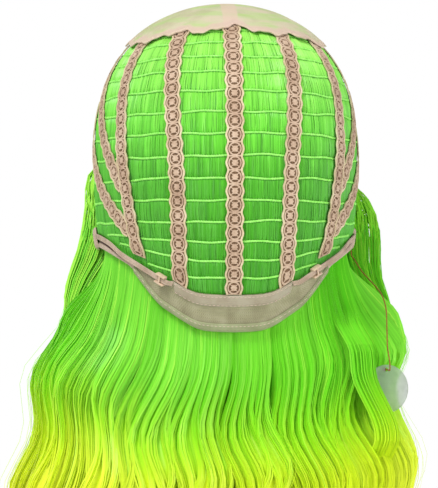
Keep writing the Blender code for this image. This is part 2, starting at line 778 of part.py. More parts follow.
def hair_lock(name, index):
    """Lens-shaped lock between two shared edges, closed at its root and at its tip."""
    tip_shift = HAIR_TIP_SPREAD * sin(2.1 * index)
    middle_angle = (lock_edge(index, 0) + lock_edge(index + 1, 0)) / 2
    work = bmesh.new()
    bmesh.ops.create_uvsphere(work, u_segments=LOCK_SIDES, v_segments=LOCK_RINGS, radius=1.0)
    for corner in work.verts:
        ring = round(acos(max(-1.0, min(1.0, corner.co.z))) / pi * LOCK_RINGS)
        pole = ring in (0, LOCK_RINGS)
        round_out = hypot(corner.co.x, corner.co.y)
        spread = 0.0 if pole else corner.co.x / round_out / LOCK_FLAT
        bulge = 0.0 if pole else corner.co.y / round_out
        left = 1 - ring / LOCK_RINGS
        thickness = LOCK_HALF_THICKNESS * min(1.0, LOCK_TIP_FULLNESS * left)
        z = lock_level(middle_angle, ring)
        for _ in range(3):
            first, last = lock_edge(index, z), lock_edge(index + 1, z)
            gap = LOCK_GAP / HAIR_SIDE_REACH
            half = (last - first - gap) / 2 * min(1.0, LOCK_TIP_WIDTH * left)
            angle = (first + last) / 2 + half * spread
            z = lock_level(angle, ring)
        if ring == LOCK_RINGS:
            z += tip_shift
        point, level_out = hair_surface(angle, z)
        corner.co = point - level_out * (LOCK_HALF_THICKNESS - bulge * thickness)
    return mesh_from(work, name)


for lock in range(LOCK_COUNT):
    lock_name = f"hair_lock_{lock + 1:02d}"
    add_piece(lock_name, hair_lock(lock_name, lock), hair_finish)


# Round tag: a disc with a hole, on a thread from the right ear tab


tag_out = Vector((sin(TAG_TURN), -cos(TAG_TURN), 0))
tag_across = Vector((cos(TAG_TURN), sin(TAG_TURN), 0))
thread_end = Vector(THREAD_ROUTE[-1])
hole_centre = thread_end - tag_out * (TAG_THICKNESS / 2 + 4 * THREAD_DIAMETER)
tag_place = Matrix((tag_across, Vector((0, 0, 1)), tag_out)).transposed().to_4x4()
tag_place.translation = hole_centre


def ring_spline(curve, centre, radius, points):
    spline = curve.splines.new("POLY")
    spline.points.add(points - 1)
    spline.use_cyclic_u = True
    for index, point in enumerate(spline.points):
        turn = 2 * pi * index / points
        point.co = (centre[0] + radius * cos(turn), centre[1] + radius * sin(turn), 0, 1)


tag_curve = bpy.data.curves.new("round_tag", "CURVE")
tag_curve.dimensions = "2D"
tag_curve.fill_mode = "BOTH"
tag_curve.extrude = TAG_THICKNESS / 2
ring_spline(tag_curve, (0, -TAG_HOLE_REACH), TAG_DIAMETER / 2, 36)
ring_spline(tag_curve, (0, 0), TAG_HOLE_DIAMETER / 2, 12)
add_piece("round_tag", tag_curve, tag_finish, place=tag_place)


def smooth_route(points, spacing):
    """Even points on a smooth curve through the route's own points."""
    ends = [2 * points[0] - points[1]] + points + [2 * points[-1] - points[-2]]
    fine = []
    for before, first, last, after in zip(ends, ends[1:], ends[2:], ends[3:]):
        for step in range(40):
            t = step / 40
            fine.append(0.5 * (2 * first + (last - before) * t
                               + (2 * before - 5 * first + 4 * last - after) * t ** 2
                               + (3 * first - before - 3 * last + after) * t ** 3))
    fine.append(points[-1])
    total = sum((b - a).length for a, b in zip(fine, fine[1:]))
    count = ceil(total / spacing)
    even, walked, target = [fine[0]], 0.0, total / count
    for first, last in zip(fine, fine[1:]):
        walked += (last - first).length
        if walked >= target * len(even) and len(even) < count:
            even.append(last)
    return even + [fine[-1]]


tab_edge_point = on_head(
    EAR_TAB_ANGLE - EAR_TAB_WIDTH / 4 / girth(EAR_TAB_ANGLE, EAR_TAB_LEVEL), tab_low,
    TAPE_LAYER + EAR_TAB_THICKNESS / 2) - Vector((0, 0, CLEARANCE))
thread_stop = hole_centre - tag_out * (TAG_THICKNESS / 2 + THREAD_DIAMETER)
route = [tab_edge_point, tab_edge_point - Vector((0, 0, 3 * THREAD_DIAMETER))]
route += [Vector(point) for point in THREAD_ROUTE]
route += [hole_centre + tag_out * THREAD_DIAMETER, thread_stop]
thread_points = smooth_route(route, THREAD_POINT_SPACING)
thread_curve = bpy.data.curves.new("tag_thread", "CURVE")
thread_curve.dimensions = "3D"
thread_curve.bevel_depth = THREAD_DIAMETER / 2
thread_curve.bevel_resolution = 2
thread_curve.use_fill_caps = True
thread_spline = thread_curve.splines.new("POLY")
thread_spline.points.add(len(thread_points) - 1)
for slot, point in zip(thread_spline.points, thread_points):
    slot.co = (*point, 1)
add_piece("tag_thread", thread_curve, thread_finish)

knot_work = bmesh.new()
bmesh.ops.create_uvsphere(knot_work, u_segments=10, v_segments=6, radius=KNOT_DIAMETER / 2)
knot_place = tag_place.copy()
knot_place.translation = thread_stop - tag_out * (KNOT_DIAMETER / 2 + CLEARANCE)
add_piece("thread_knot", mesh_from(knot_work, "thread_knot"), thread_finish, place=knot_place)
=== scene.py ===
"""Looks of a costume wig whose cap is turned inside out.

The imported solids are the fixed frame. Hair, lace, net, tapes and trims are modelled over them in the
same metres, and each new piece stands for the solid of the same place.
"""

from math import ceil, cos, pi, radians, sin

import bmesh
import bpy
import numpy as np
from mathutils import Matrix, Vector


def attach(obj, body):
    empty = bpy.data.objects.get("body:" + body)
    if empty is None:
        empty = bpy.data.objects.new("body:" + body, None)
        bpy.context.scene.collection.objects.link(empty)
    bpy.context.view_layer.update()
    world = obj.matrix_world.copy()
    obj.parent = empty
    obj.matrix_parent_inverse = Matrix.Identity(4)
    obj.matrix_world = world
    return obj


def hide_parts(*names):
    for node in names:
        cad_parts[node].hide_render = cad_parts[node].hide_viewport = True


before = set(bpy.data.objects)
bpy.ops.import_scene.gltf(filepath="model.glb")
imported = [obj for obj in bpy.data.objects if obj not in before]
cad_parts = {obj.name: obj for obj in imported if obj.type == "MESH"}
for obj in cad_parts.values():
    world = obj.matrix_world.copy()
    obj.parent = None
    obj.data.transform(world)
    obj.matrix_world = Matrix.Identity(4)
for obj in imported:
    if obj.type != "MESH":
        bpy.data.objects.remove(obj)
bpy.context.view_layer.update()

scene = bpy.context.scene
scene.view_settings.view_transform = "Standard"


# Camera: a long lens straight behind the wig, a little to its left and level with
# the middle of the picture, which cuts the hair off below.

VIEW_DISTANCE = 2.6
VIEW_AZIMUTH = radians(-3.3)
VIEW_CENTRE = Vector((-0.0041, 0.0, -0.0428))
VIEW_RISE = -0.015
PICTURE_HEIGHT = 0.3090
SENSOR_HEIGHT = 24.0


def placed(name, data):
    """New object in the scene, at the origin."""
    made = bpy.data.objects.new(name, data)
    scene.collection.objects.link(made)
    return made


def aim(holder, place):
    """Puts a camera or a lamp at a place, aimed at the middle of the picture."""
    holder.location = place
    holder.rotation_euler = (VIEW_CENTRE - Vector(place)).to_track_quat("-Z", "Y").to_euler()


lens = bpy.data.cameras.new("photo_lens")
lens.sensor_fit = "VERTICAL"
lens.sensor_height = SENSOR_HEIGHT
lens.lens = SENSOR_HEIGHT * VIEW_DISTANCE / PICTURE_HEIGHT
scene.camera = placed("photo_camera", lens)
aim(scene.camera, VIEW_CENTRE + Vector((
    VIEW_DISTANCE * sin(VIEW_AZIMUTH), -VIEW_DISTANCE * cos(VIEW_AZIMUTH), VIEW_RISE)))


# Studio: a pale floor under the hair, a white surround that the camera sees as plain white,
# a soft lamp above and to the left, and a larger and weaker one on the right.

FLOOR_LEVEL = -0.372
FLOOR_SIZE = 1.4
FLOOR_COLOUR = (0.86, 0.86, 0.86)
SURROUND_LIGHT = 0.62


def add_node(tree, kind, settings=(), **inputs):
    """Adds a shader node. An input, by name or as i0 for the first, is a value or an output."""
    made = tree.nodes.new("ShaderNode" + kind)
    for name, value in dict(settings).items():
        setattr(made, name, value)
    for name, value in inputs.items():
        slot = int(name[1:]) if name[0] == "i" and name[1:].isdigit() else name.replace("_", " ")
        if isinstance(value, bpy.types.NodeSocket):
            tree.links.new(value, made.inputs[slot])
        else:
            made.inputs[slot].default_value = value
    return made


class Finish:
    """Material of one real finish, whose nodes are added and linked by name."""

    def __init__(self, name, roughness, colour=(0.5, 0.5, 0.5), **sockets):
        self.material = bpy.data.materials.new(name)
        self.material.use_nodes = True
        self.tree = self.material.node_tree
        self.shader = self.tree.nodes["Principled BSDF"]
        self.shader.inputs["Roughness"].default_value = roughness
        self.shader.inputs["Base Color"].default_value = (*colour, 1)
        for socket, value in sockets.items():
            self.shader.inputs[socket.replace("_", " ")].default_value = value

    def node(self, kind, settings=(), **inputs):
        """Outputs of a new node."""
        return add_node(self.tree, kind, settings, **inputs).outputs

    def place(self):
        """Coordinates in the piece's own metres."""
        return self.node("TexCoord")["Object"]

    def weave(self):
        """Flat map of a sheet."""
        return self.node("UVMap", {"uv_map": "weave"})["UV"]

    def stretched(self, spots, scale):
        """Coordinates scaled along each axis."""
        return self.node("Mapping", Vector=spots, Scale=scale)["Vector"]

    def noise(self, scale, detail, spots=None):
        """Unevenness over the piece, or over other coordinates."""
        spots = self.place() if spots is None else spots
        return self.node("TexNoise", Vector=spots, Scale=scale, Detail=detail)["Fac"]

    def math(self, operation, first, second=0.0, third=0.0):
        """Result of a sum on values or outputs."""
        return self.node("Math", {"operation": operation}, i0=first, i1=second, i2=third)[0]

    def share(self, value, low, high, most=1.0):
        """Share of the way from low to high that a value has come, scaled to a most."""
        return self.node("MapRange", Value=value, From_Min=low, From_Max=high, To_Max=most)["Result"]

    def ramp(self, value, places, colours):
        """Colours at places along a value."""
        made = add_node(self.tree, "ValToRGB", Fac=value)
        stops = made.color_ramp.elements
        while len(stops) < len(places):
            stops.new(0.5)
        for stop, place, colour in zip(stops, places, colours):
            stop.position = place
            stop.color = (*colour, 1)
        return made.outputs["Color"]

    def blend(self, share, first, second, kind="MIX"):
        """Two colours mixed by a share."""
        first, second = (
            colour if isinstance(colour, bpy.types.NodeSocket) else (*colour, 1)
            for colour in (first, second))
        return self.node("Mix", {"data_type": "RGBA", "blend_type": kind}, i0=share, i6=first, i7=second)[2]

    def paint(self, colour, height=None, depth=None):
        """Links a colour and a height, whose depth is in metres, and gives the material."""
        self.tree.links.new(colour, self.shader.inputs["Base Color"])
        if height is not None:
            bump = self.node("Bump", Height=height, Distance=depth)
            self.tree.links.new(bump["Normal"], self.shader.inputs["Normal"])
        return self.material


def mesh_of(name, work):
    """Mesh of a finished bmesh."""
    mesh = bpy.data.meshes.new(name)
    work.to_mesh(mesh)
    work.free()
    return mesh


floor_work = bmesh.new()
bmesh.ops.create_grid(floor_work, x_segments=1, y_segments=1, size=FLOOR_SIZE)
bmesh.ops.translate(floor_work, verts=floor_work.verts, vec=(0, 0, FLOOR_LEVEL))
floor = placed("floor", mesh_of("floor", floor_work))
floor.data.materials.append(Finish("pale_floor", 0.75, FLOOR_COLOUR).material)

scene.world = bpy.data.worlds.new("white_surround")
scene.world.use_nodes = True
sky = scene.world.node_tree
sky.nodes.clear()
ray = add_node(sky, "LightPath").outputs
mirrored = add_node(sky, "Math", {"operation": "MAXIMUM"},
                    i0=ray["Is Glossy Ray"], i1=ray["Is Transmission Ray"])
seen = add_node(sky, "Math", {"operation": "MAXIMUM"}, i0=ray["Is Camera Ray"], i1=mirrored.outputs[0])
level = add_node(sky, "MapRange", Value=seen.outputs[0], To_Min=SURROUND_LIGHT, To_Max=1.0)
white = add_node(sky, "Background", Color=(1, 1, 1, 1), Strength=level.outputs["Result"])
add_node(sky, "OutputWorld", Surface=white.outputs[0])


def soft_lamp(name, place, power, size):
    """Square lamp aimed at the wig."""
    lamp = bpy.data.lights.new(name, "AREA")
    lamp.energy = power
    lamp.size = size
    aim(placed(name, lamp), place)


soft_lamp("key_lamp", (-0.75, -1.00, 1.10), 16.0, 0.45)
soft_lamp("fill_lamp", (1.05, -1.10, 0.15), 7.6, 0.9)


# Thread of the swing tag: two plies of brown cotton twisted together, tied through the ear
# tab's lower edge, hanging over the hair and passing through the hole of the tag.

THREAD_DIAMETER = 0.0010
THREAD_TWIST = 0.0021
THREAD_SPACING = 0.0026
PLY_STEPS = 8
PLY_OFFSET = 0.00022
PLY_RADIUS = 0.00028
ROUTE_STEPS = 40
CLEARANCE = 0.00035
TAG_THICKNESS = 0.0008
TAG_TURN = radians(22)
THREAD_COLOURS = ((0.21, 0.075, 0.014), (0.40, 0.17, 0.03))
PLAIN_CREASE = radians(42)
JOINED_CREASE = radians(50)
tag_out = np.array((sin(TAG_TURN), -cos(TAG_TURN), 0.0))
tag_across = np.array((cos(TAG_TURN), sin(TAG_TURN), 0.0))
thread_exit = np.array((0.080930, 0.009980, -0.046860))
thread_bends = [
    thread_exit, thread_exit - (0, 0, 3 * THREAD_DIAMETER),
    (0.0830, 0.0088, -0.0530), (0.0872, 0.0016, -0.0605), (0.0946, -0.0142, -0.0702),
    (0.0977, -0.0231, -0.0761), (0.0992, -0.0306, -0.0846), (0.0989, -0.0384, -0.0970),
    (0.0985, -0.0455, -0.1070), (0.0991, -0.0518, -0.1150), (0.0992, -0.0535, -0.1212),
]
tag_hole = np.array(thread_bends[-1]) - tag_out * (TAG_THICKNESS / 2 + 4 * THREAD_DIAMETER)
thread_stop = tag_hole - tag_out * (TAG_THICKNESS / 2 + THREAD_DIAMETER)
thread_bends += [tag_hole + tag_out * THREAD_DIAMETER, thread_stop]


def unit(vectors):
    """Vectors made one metre long."""
    return vectors / np.linalg.norm(vectors, axis=-1, keepdims=True)


def walked_along(line):
    """Length walked from a line's start to each of its points."""
    return np.append(0, np.cumsum(np.linalg.norm(np.diff(line, axis=0), axis=1)))


def at_length(length, walked, line):
    """Places on a line, or what goes with its points, at walked lengths."""
    return np.stack([np.interp(length, walked, line[:, axis]) for axis in range(3)], -1)


def smooth_route(bends, spacing):
    """Even points on a smooth curve through a route's own bends."""
    bends = [np.array(bend, float) for bend in bends]
    ends = [2 * bends[0] - bends[1]] + bends + [2 * bends[-1] - bends[-2]]
    fine = []
    for before, first, last, after in zip(ends, ends[1:], ends[2:], ends[3:]):
        for t in np.arange(ROUTE_STEPS) / ROUTE_STEPS:
            fine.append(0.5 * (2 * first + (last - before) * t
                               + (2 * before - 5 * first + 4 * last - after) * t ** 2
                               + (3 * first - before - 3 * last + after) * t ** 3))
    fine = np.array(fine + [bends[-1]])
    walked = walked_along(fine)
    return at_length(np.linspace(0, walked[-1], ceil(walked[-1] / spacing) + 1), walked, fine)


def add_round(curve, radius, points, centre=0.0):
    """Adds a closed round outline to a flat curve."""
    outline = curve.splines.new("POLY")
    outline.points.add(points - 1)
    outline.use_cyclic_u = True
    for index, point in enumerate(outline.points):
        turn = 2 * pi * index / points
        point.co = (radius * cos(turn), centre + radius * sin(turn), 0, 1)


def mesh_of_curve(curve):
    """Mesh of a curve, which is then removed."""
    holder = placed(curve.name, curve)
    graph = bpy.context.evaluated_depsgraph_get()
    mesh = bpy.data.meshes.new_from_object(holder.evaluated_get(graph))
    bpy.data.objects.remove(holder)
    bpy.data.curves.remove(curve)
    mesh.materials.clear()
    return mesh


def tube_mesh(paths, radii, sides=4):
    """Mesh of tubes along paths, each with one radius or a radius at every point."""
    section_curve = bpy.data.curves.new("tube_section", "CURVE")
    section_curve.dimensions = "2D"
    add_round(section_curve, 1.0, sides)
    section = placed("tube_section", section_curve)
    curve = bpy.data.curves.new("tubes", "CURVE")
    curve.dimensions = "3D"
    curve.bevel_mode = "OBJECT"
    curve.bevel_object = section
    for path, radius in zip(paths, radii):
        spline = curve.splines.new("POLY")
        spline.points.add(len(path) - 1)
        spline.points.foreach_set("co", np.c_[path, np.ones(len(path))].ravel())
        spline.points.foreach_set("radius", np.broadcast_to(radius, len(path)).astype(np.float32))
    mesh = mesh_of_curve(curve)
    bpy.data.objects.remove(section)
    bpy.data.curves.remove(section_curve)
    mesh.shade_smooth()
    return mesh


def joined(parts):
    """One bmesh of several parts; the faces of each take the finish of its number."""
    whole = bmesh.new()
    for number, part in enumerate(parts):
        if isinstance(part, bmesh.types.BMesh):
            part = mesh_of("part", part)
        before = len(whole.faces)
        whole.from_mesh(part)
        bpy.data.meshes.remove(part)
        whole.faces.ensure_lookup_table()
        for face in whole.faces[before:]:
            face.material_index = number
    return whole


def creased(work, angle):
    """Smooth mesh of a bmesh, sharp where it bends by more than an angle."""
    mesh = mesh_of("piece", work)
    mesh.shade_smooth()
    mesh.set_sharp_from_angle(angle=angle)
    return mesh


def add_piece(name, body, node, slot, *parts):
    """Object of (mesh, finish) parts, which rides on a body and stands for one of its solids."""
    meshes, finishes = zip(*parts)
    mesh = meshes[0]
    if len(meshes) > 1:
        mesh = creased(joined(meshes), JOINED_CREASE)
    elif isinstance(mesh, bmesh.types.BMesh):
        mesh = creased(mesh, PLAIN_CREASE)
    mesh.name = name
    piece = placed(name, mesh)
    for finish in finishes:
        mesh.materials.append(finish)
    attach(piece, body)
    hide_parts(node)
    return piece


def speckled(name, roughness, colours, scale, detail, depth=None, stretch=None, **sockets):
    """Finish in fine specks of two tones, raised where a depth is given."""
    made = Finish(name, roughness, **sockets)
    specks = made.noise(scale, detail, made.stretched(made.place(), stretch) if stretch else None)
    return made.paint(made.ramp(specks, (0.3, 0.7), colours), specks if depth else None, depth)


thread_route = smooth_route(thread_bends, THREAD_SPACING)
fine_route = smooth_route(thread_bends, THREAD_TWIST / PLY_STEPS)
heading = unit(np.gradient(fine_route, axis=0))
side_way = unit(np.cross(heading, (0.31, 0.12, 0.9)))
other_way = np.cross(heading, side_way)
turns = (np.arange(len(fine_route)) * 2 * pi / PLY_STEPS)[:, None]
plies = [fine_route + PLY_OFFSET * (np.cos(turns + start) * side_way + np.sin(turns + start) * other_way)
         for start in (0, pi)]
thread_finish = speckled("twisted_thread", 0.75, THREAD_COLOURS, 900.0, 3.0, 0.0001)
thread = add_piece("tag_thread_plies", "cap", "tag_thread", "thread",
                   (tube_mesh(plies, [PLY_RADIUS, PLY_RADIUS], 6), thread_finish))


# Knot of the thread: the end tied in a small trefoil behind the tag, so that it can't pull
# back through the hole.

KNOT_DIAMETER = 0.0034
KNOT_POINTS = 61
KNOT_PLUMPNESS = 1.6
knot_centre = thread_stop - tag_out * (KNOT_DIAMETER / 2 + CLEARANCE)
around = np.linspace(0, 2 * pi, KNOT_POINTS)
knot_size = KNOT_DIAMETER / 2 - THREAD_DIAMETER / 2
knot_path = knot_centre + knot_size / 3 * (
    np.outer(np.sin(around) + 2 * np.sin(2 * around), tag_across)
    + np.outer(np.cos(around) - 2 * np.cos(2 * around), (0, 0, 1))
    - np.outer(KNOT_PLUMPNESS * np.sin(3 * around), tag_out))
knot = add_piece("thread_knot_tied", "cap", "thread_knot", "thread",
                 (tube_mesh([knot_path], [THREAD_DIAMETER / 2], 8), thread_finish))


# Swing tag: a thin round of frosted plastic, cut from sheet with its edges eased. The thread goes
# loosely through a hole punched near its top.

TAG_DIAMETER = 0.030
TAG_HOLE = 0.0026
TAG_HOLE_REACH = 0.012
TAG_ROUNDING = 0.00012
MERGE_DISTANCE = 0.00001
TAG_COLOURS = ((0.58, 0.61, 0.58), (0.70, 0.72, 0.70))
tag_outline = bpy.data.curves.new("swing_tag", "CURVE")
tag_outline.dimensions = "2D"
tag_outline.fill_mode = "BOTH"
tag_outline.extrude = TAG_THICKNESS / 2 - TAG_ROUNDING
tag_outline.bevel_depth = TAG_ROUNDING
tag_outline.bevel_resolution = 1
add_round(tag_outline, TAG_DIAMETER / 2 - TAG_ROUNDING, 72, -TAG_HOLE_REACH)
add_round(tag_outline, TAG_HOLE / 2 + TAG_ROUNDING, 24)
tag_flat = mesh_of_curve(tag_outline)
tag_work = bmesh.new()
tag_work.from_mesh(tag_flat)
bpy.data.meshes.remove(tag_flat)
bmesh.ops.remove_doubles(tag_work, verts=tag_work.verts, dist=MERGE_DISTANCE)
tag_place = Matrix((tag_across, (0, 0, 1), tag_out)).transposed().to_4x4()
tag_place.translation = tag_hole
bmesh.ops.transform(tag_work, matrix=tag_place, verts=tag_work.verts)
bmesh.ops.recalc_face_normals(tag_work, faces=tag_work.faces)
tag_finish = speckled("frosted_plastic", 0.30, TAG_COLOURS, 260.0, 3.0, 0.00004,
                      colour=(0.62, 0.64, 0.61), IOR=1.15, Transmission_Weight=0.80)
tag = add_piece("swing_tag", "tag", "round_tag", "tag_plastic", (tag_work, tag_finish))


# Weft rows: machine-sewn tracks of green synthetic hair. Each has a stitched header cord along
# its top and short hair lying flat below it, tucked in under the next row's header.

HEAD_HALF_WIDTH = 0.0825
HEAD_HALF_DEPTH = 0.097
CROWN_HEIGHT = 0.106
CROWN_FULLNESS = 2.85
NAPE_TAPER = 0.150
CROWN_EDGE_BACK = CROWN_HEIGHT - 0.017
CROWN_EDGE_SIDE = CROWN_HEIGHT - 0.025
CROWN_EDGE_FRONT = CROWN_HEIGHT - 0.010
CROWN_SIDE_ANGLE = radians(70)
EDGE_TUCK = 0.006
FRONT_ANGLE = radians(105)
ROW_COUNT = 15
ROW_DEPTH = 0.0022
ROW_END_HEIGHT = 0.004
HEADER_HEIGHT = 0.0022
NAPE_TOP = -0.0744
EAR_BAND_TOP = -0.0366
BAND_RISE_FROM = 0.34
BAND_RISE_EASE = 0.10
ROW_CROWDING = 0.10
ROW_FOLLOW = 0.60
ROW_FOLLOW_FROM = 0.72
ROW_GIRTH_ANGLE = 0.6
ROW_END_SAMPLES = 800
HEIGHT_SAMPLES = 401
ROW_WAVES = ((0.00036, 5), (0.00032, 11), (0.000176, 23), (0.0004, 2.2))
SEWN_DROP = 0.0030
ELASTIC_LEAVES = radians(28)
ELASTIC_LEAVES_EASE = radians(5)
ELASTIC_RETURNS = radians(58)
ELASTIC_RETURNS_EASE = radians(22)
WEFT_SPACING = 0.00060
WEFT_RADIUS = 0.00046
WEFT_LEAN = 0.0004
WEFT_CURL = 0.0003
WEFT_TOP_TUCK = 0.0006
WEFT_BOTTOM_TUCK = 0.0012
WEFT_LEAST_LENGTH = 0.001
WEFT_TONE = 0.52
BACKING_TUCK = 0.0004
BACKING_LIFTS = (-0.0004, -0.00008)
WEFT_HEIGHTS = (-0.09, 0.11)
WEFT_SHARES = np.array((0.0, 0.12, 0.4, 0.7, 0.92, 1.0))
WEFT_LIFTS = np.array((-0.0006, 0.00015, 0.00025, 0.00018, 0.00004, -0.0003))
WEFT_TAPER = np.array((0.02, 0.9, 1.0, 1.0, 0.9, 0.02))
WEFT_STREAKS = ((0.14, 31, 2.4), (0.11, 67, 5.1), (0.13, 149, 1.7))
HEADER_RADIUS = 0.00066
HEADER_LIFT = 0.0001
STITCH_PITCH = 0.0017
STITCH_STEPS = 7
STITCH_RADIUS = 0.0002
STITCH_RISE = 0.00085
FOLD_RADIUS = 0.00034
FOLD_DROP = 0.0009
FOLD_LIFT = 0.00022
CLOSED_END = 0.00001
MASS_CHART = (0.01, 0.37)
FIBRE_CHART = (0.40, 0.97)
CHART_HEIGHTS = (0.01, 0.99)
CHART_NUDGE = 0.02
FADE_FROM = 0.050
FADE_SIDES = 0.42
TONE_SHIFT = 0.022
# Weft hair colours by height: darker on the lower rows and lighter up on the crown, as painted light falling
# from above.
WEFT_LIT_COLOURS = ((0.080, 0.43, 0.025), (0.095, 0.48, 0.026), (0.175, 0.70, 0.050), (0.38, 0.87, 0.14))
HEADER_COLOURS = ((0.26, 0.80, 0.10), (0.42, 0.95, 0.20))
# Fold colour: dark green, painted shadow under each header.
FOLD_SHADOW_COLOUR = (0.035, 0.24, 0.012)
BACKING_COLOURS = ((0.085, 0.42, 0.025), (0.16, 0.65, 0.048))
# Painted highlight: the pale yellow-green that the palest hanging fibres are mixed towards.
PAINTED_HIGHLIGHT_HAIR = (0.58, 0.95, 0.10)


def smooth(share):
    """Share that starts and stops softly."""
    share = np.clip(share, 0.0, 1.0)
    return share * share * (3 - 2 * share)


def mix(first, second, share):
    return first + (second - first) * share


def turn_of(angle):
    """Angle from the back centre, without its side."""
    angle = np.abs(angle) % (2 * pi)
    return np.minimum(angle, 2 * pi - angle)


def head_share(z):
    """Share of the widest section that is left at a height."""
    low = np.sqrt(np.clip(1 - (np.minimum(z, 0.0) / NAPE_TAPER) ** 2, 0, 1))
    high = np.sqrt(np.clip(1 - (np.maximum(z, 0.0) / CROWN_HEIGHT) ** CROWN_FULLNESS, 0, 1))
    return np.where(np.asarray(z) < 0, low, high)


def head_normal(x, y, z):
    """Outward direction of the head form at a point on it."""
    dome = CROWN_FULLNESS / 2 * (np.maximum(z, 0.0) / CROWN_HEIGHT) ** (CROWN_FULLNESS - 1) / CROWN_HEIGHT
    rise = np.where(z < 0, z / NAPE_TAPER ** 2, dome)
    return unit(np.stack((x / HEAD_HALF_WIDTH ** 2, y / HEAD_HALF_DEPTH ** 2, rise), -1))


def on_head(angle, z, lift=0.0):
    """Points at angles and heights, lifted off the head form."""
    angle, z, lift = np.broadcast_arrays(np.asarray(angle, float), np.asarray(z, float), lift)
    share = head_share(z)
    x, y = HEAD_HALF_WIDTH * share * np.sin(angle), -HEAD_HALF_DEPTH * share * np.cos(angle)
    return np.stack((x, y, z), -1) + head_normal(x, y, z) * lift[..., None]


def girth(angle, z):
    """Length round the head for each radian of angle."""
    return np.hypot(HEAD_HALF_WIDTH * np.cos(angle), HEAD_HALF_DEPTH * np.sin(angle)) * head_share(z)


def crown_edge(angle):
    """Height of the crown net's edge, lowest at the sides."""
    turn = turn_of(angle)
    back = mix(CROWN_EDGE_BACK, CROWN_EDGE_SIDE, (turn / CROWN_SIDE_ANGLE) ** 2)
    forward = (turn - CROWN_SIDE_ANGLE) / (pi - CROWN_SIDE_ANGLE)
    return np.where(turn < CROWN_SIDE_ANGLE, back, mix(CROWN_EDGE_SIDE, CROWN_EDGE_FRONT, smooth(forward)))


def band_top(angle):
    """Height of the upper edge of the nape band and of the elastic, which rises to the ears."""
    aside = np.sin(np.minimum(turn_of(angle), pi / 2))
    low, now, high = (np.hypot(share - BAND_RISE_FROM, BAND_RISE_EASE) + share for share in (0, aside, 1))
    return mix(NAPE_TOP, EAR_BAND_TOP, (now - low) / (high - low))


def even_heights(line, top, bottom, count, crowding=0.0):
    """Heights that part a line down the head into equal lengths, or into closer ones at its ends."""
    heights = np.linspace(top, bottom, HEIGHT_SAMPLES)
    walked = walked_along(line(heights))
    shares = np.linspace(0, 1, count + 1)
    return np.interp(walked[-1] * (shares - crowding * np.sin(2 * pi * shares) / (2 * pi)), walked, heights)


row_heights = even_heights(lambda z: on_head(0.0, z), CROWN_EDGE_BACK + EDGE_TUCK, NAPE_TOP, ROW_COUNT,
                           ROW_CROWDING)
row_draw = np.random.default_rng(11)
row_starts = row_draw.uniform(0, 2 * pi, (ROW_COUNT + 1, len(ROW_WAVES)))


def row_top(row, angle):
    """Header line of a row: at the sides the upper rows dip with the crown edge, the lowest rise."""
    down = row / ROW_COUNT
    dip = CROWN_EDGE_BACK - crown_edge(angle)
    follow = ROW_FOLLOW * smooth((down - ROW_FOLLOW_FROM) / (1 - ROW_FOLLOW_FROM))
    return row_heights[row] - dip * (1 - down) ** 2 + (band_top(angle) - NAPE_TOP) * follow


def row_sway(row, angle):
    """Small unevenness of a sewn row, the same for the hair that ends under it."""
    if row == ROW_COUNT:
        return np.zeros_like(angle)
    waves = zip(ROW_WAVES, row_starts[row])
    return sum(size * np.sin(count * angle + start) for (size, count), start in waves)


def sewn_line(angle):
    """Line the rows end at: the band, or behind the elastic where that stands off the head."""
    turn = turn_of(angle)
    leaves = smooth((turn - ELASTIC_LEAVES) / ELASTIC_LEAVES_EASE)
    returns = smooth((turn - ELASTIC_RETURNS) / ELASTIC_RETURNS_EASE)
    return band_top(angle) - SEWN_DROP * leaves * (1 - returns)


def row_end(row):
    """Angle at which a row runs out at the band, or at the front lace."""
    angles = np.linspace(0, FRONT_ANGLE - CLEARANCE / girth(FRONT_ANGLE, 0), ROW_END_SAMPLES)
    below = np.maximum(row_top(row + 1, angles), sewn_line(angles)) + CLEARANCE
    tall = row_top(row, angles) - below > ROW_END_HEIGHT
    return angles[-1] if tall.all() else angles[np.argmin(tall)]


row_ends = [row_end(row) for row in range(ROW_COUNT)] + [pi]


def row_bottom(row, angle):
    """Lower edge of a row: at the next header, or at the sewn line where the next row has run out."""
    below = np.where(turn_of(angle) > row_ends[row + 1], NAPE_TOP, row_top(row + 1, angle))
    return np.maximum(below, sewn_line(angle)) + CLEARANCE


def row_length(row, end):
    return 2 * end * girth(ROW_GIRTH_ANGLE, row_heights[row])


def thickened(work):
    """Gives a flat bmesh a second side at a height of one, and lists the places of its corners."""
    grown = bmesh.ops.extrude_face_region(work, geom=work.faces[:])
    top = [item for item in grown["geom"] if isinstance(item, bmesh.types.BMVert)]
    bmesh.ops.translate(work, verts=top, vec=(0, 0, 1))
    return np.array([corner.co[:] for corner in work.verts])


def bent(work, spots):
    """Moves the corners of a closed bmesh to their spots and turns its faces outwards."""
    for corner, spot in zip(work.verts, spots):
        corner.co = spot
    work.normal_update()
    bmesh.ops.recalc_face_normals(work, faces=work.faces)
    return work


def bent_slab(across, along, place, size, chart=None):
    """Closed slab of cells, bent by place(across, along, through), with its flat size as a map.

    A chart is the stretch of the baked picture, from left to right, that its two sides share.
    """
    work = bmesh.new()
    bmesh.ops.create_grid(work, x_segments=across, y_segments=along, size=0.5)
    flat = thickened(work) + (0.5, 0.5, 0)
    work.verts.index_update()
    weave = work.loops.layers.uv.new("weave")
    for face in work.faces:
        for loop in face.loops:
            loop[weave].uv = flat[loop.vert.index][:2] * size
    if chart:
        baked = work.loops.layers.uv.new("OFBake")
        for face in work.faces:
            over = np.mean([flat[corner.index][2] for corner in face.verts]) > 0.5
            for loop in face.loops:
                shares = flat[loop.vert.index]
                loop[baked].uv = (mix(*chart, (shares[0] + over) / 2), mix(*CHART_HEIGHTS, shares[1]))
    return bent(work, place(*flat.T))


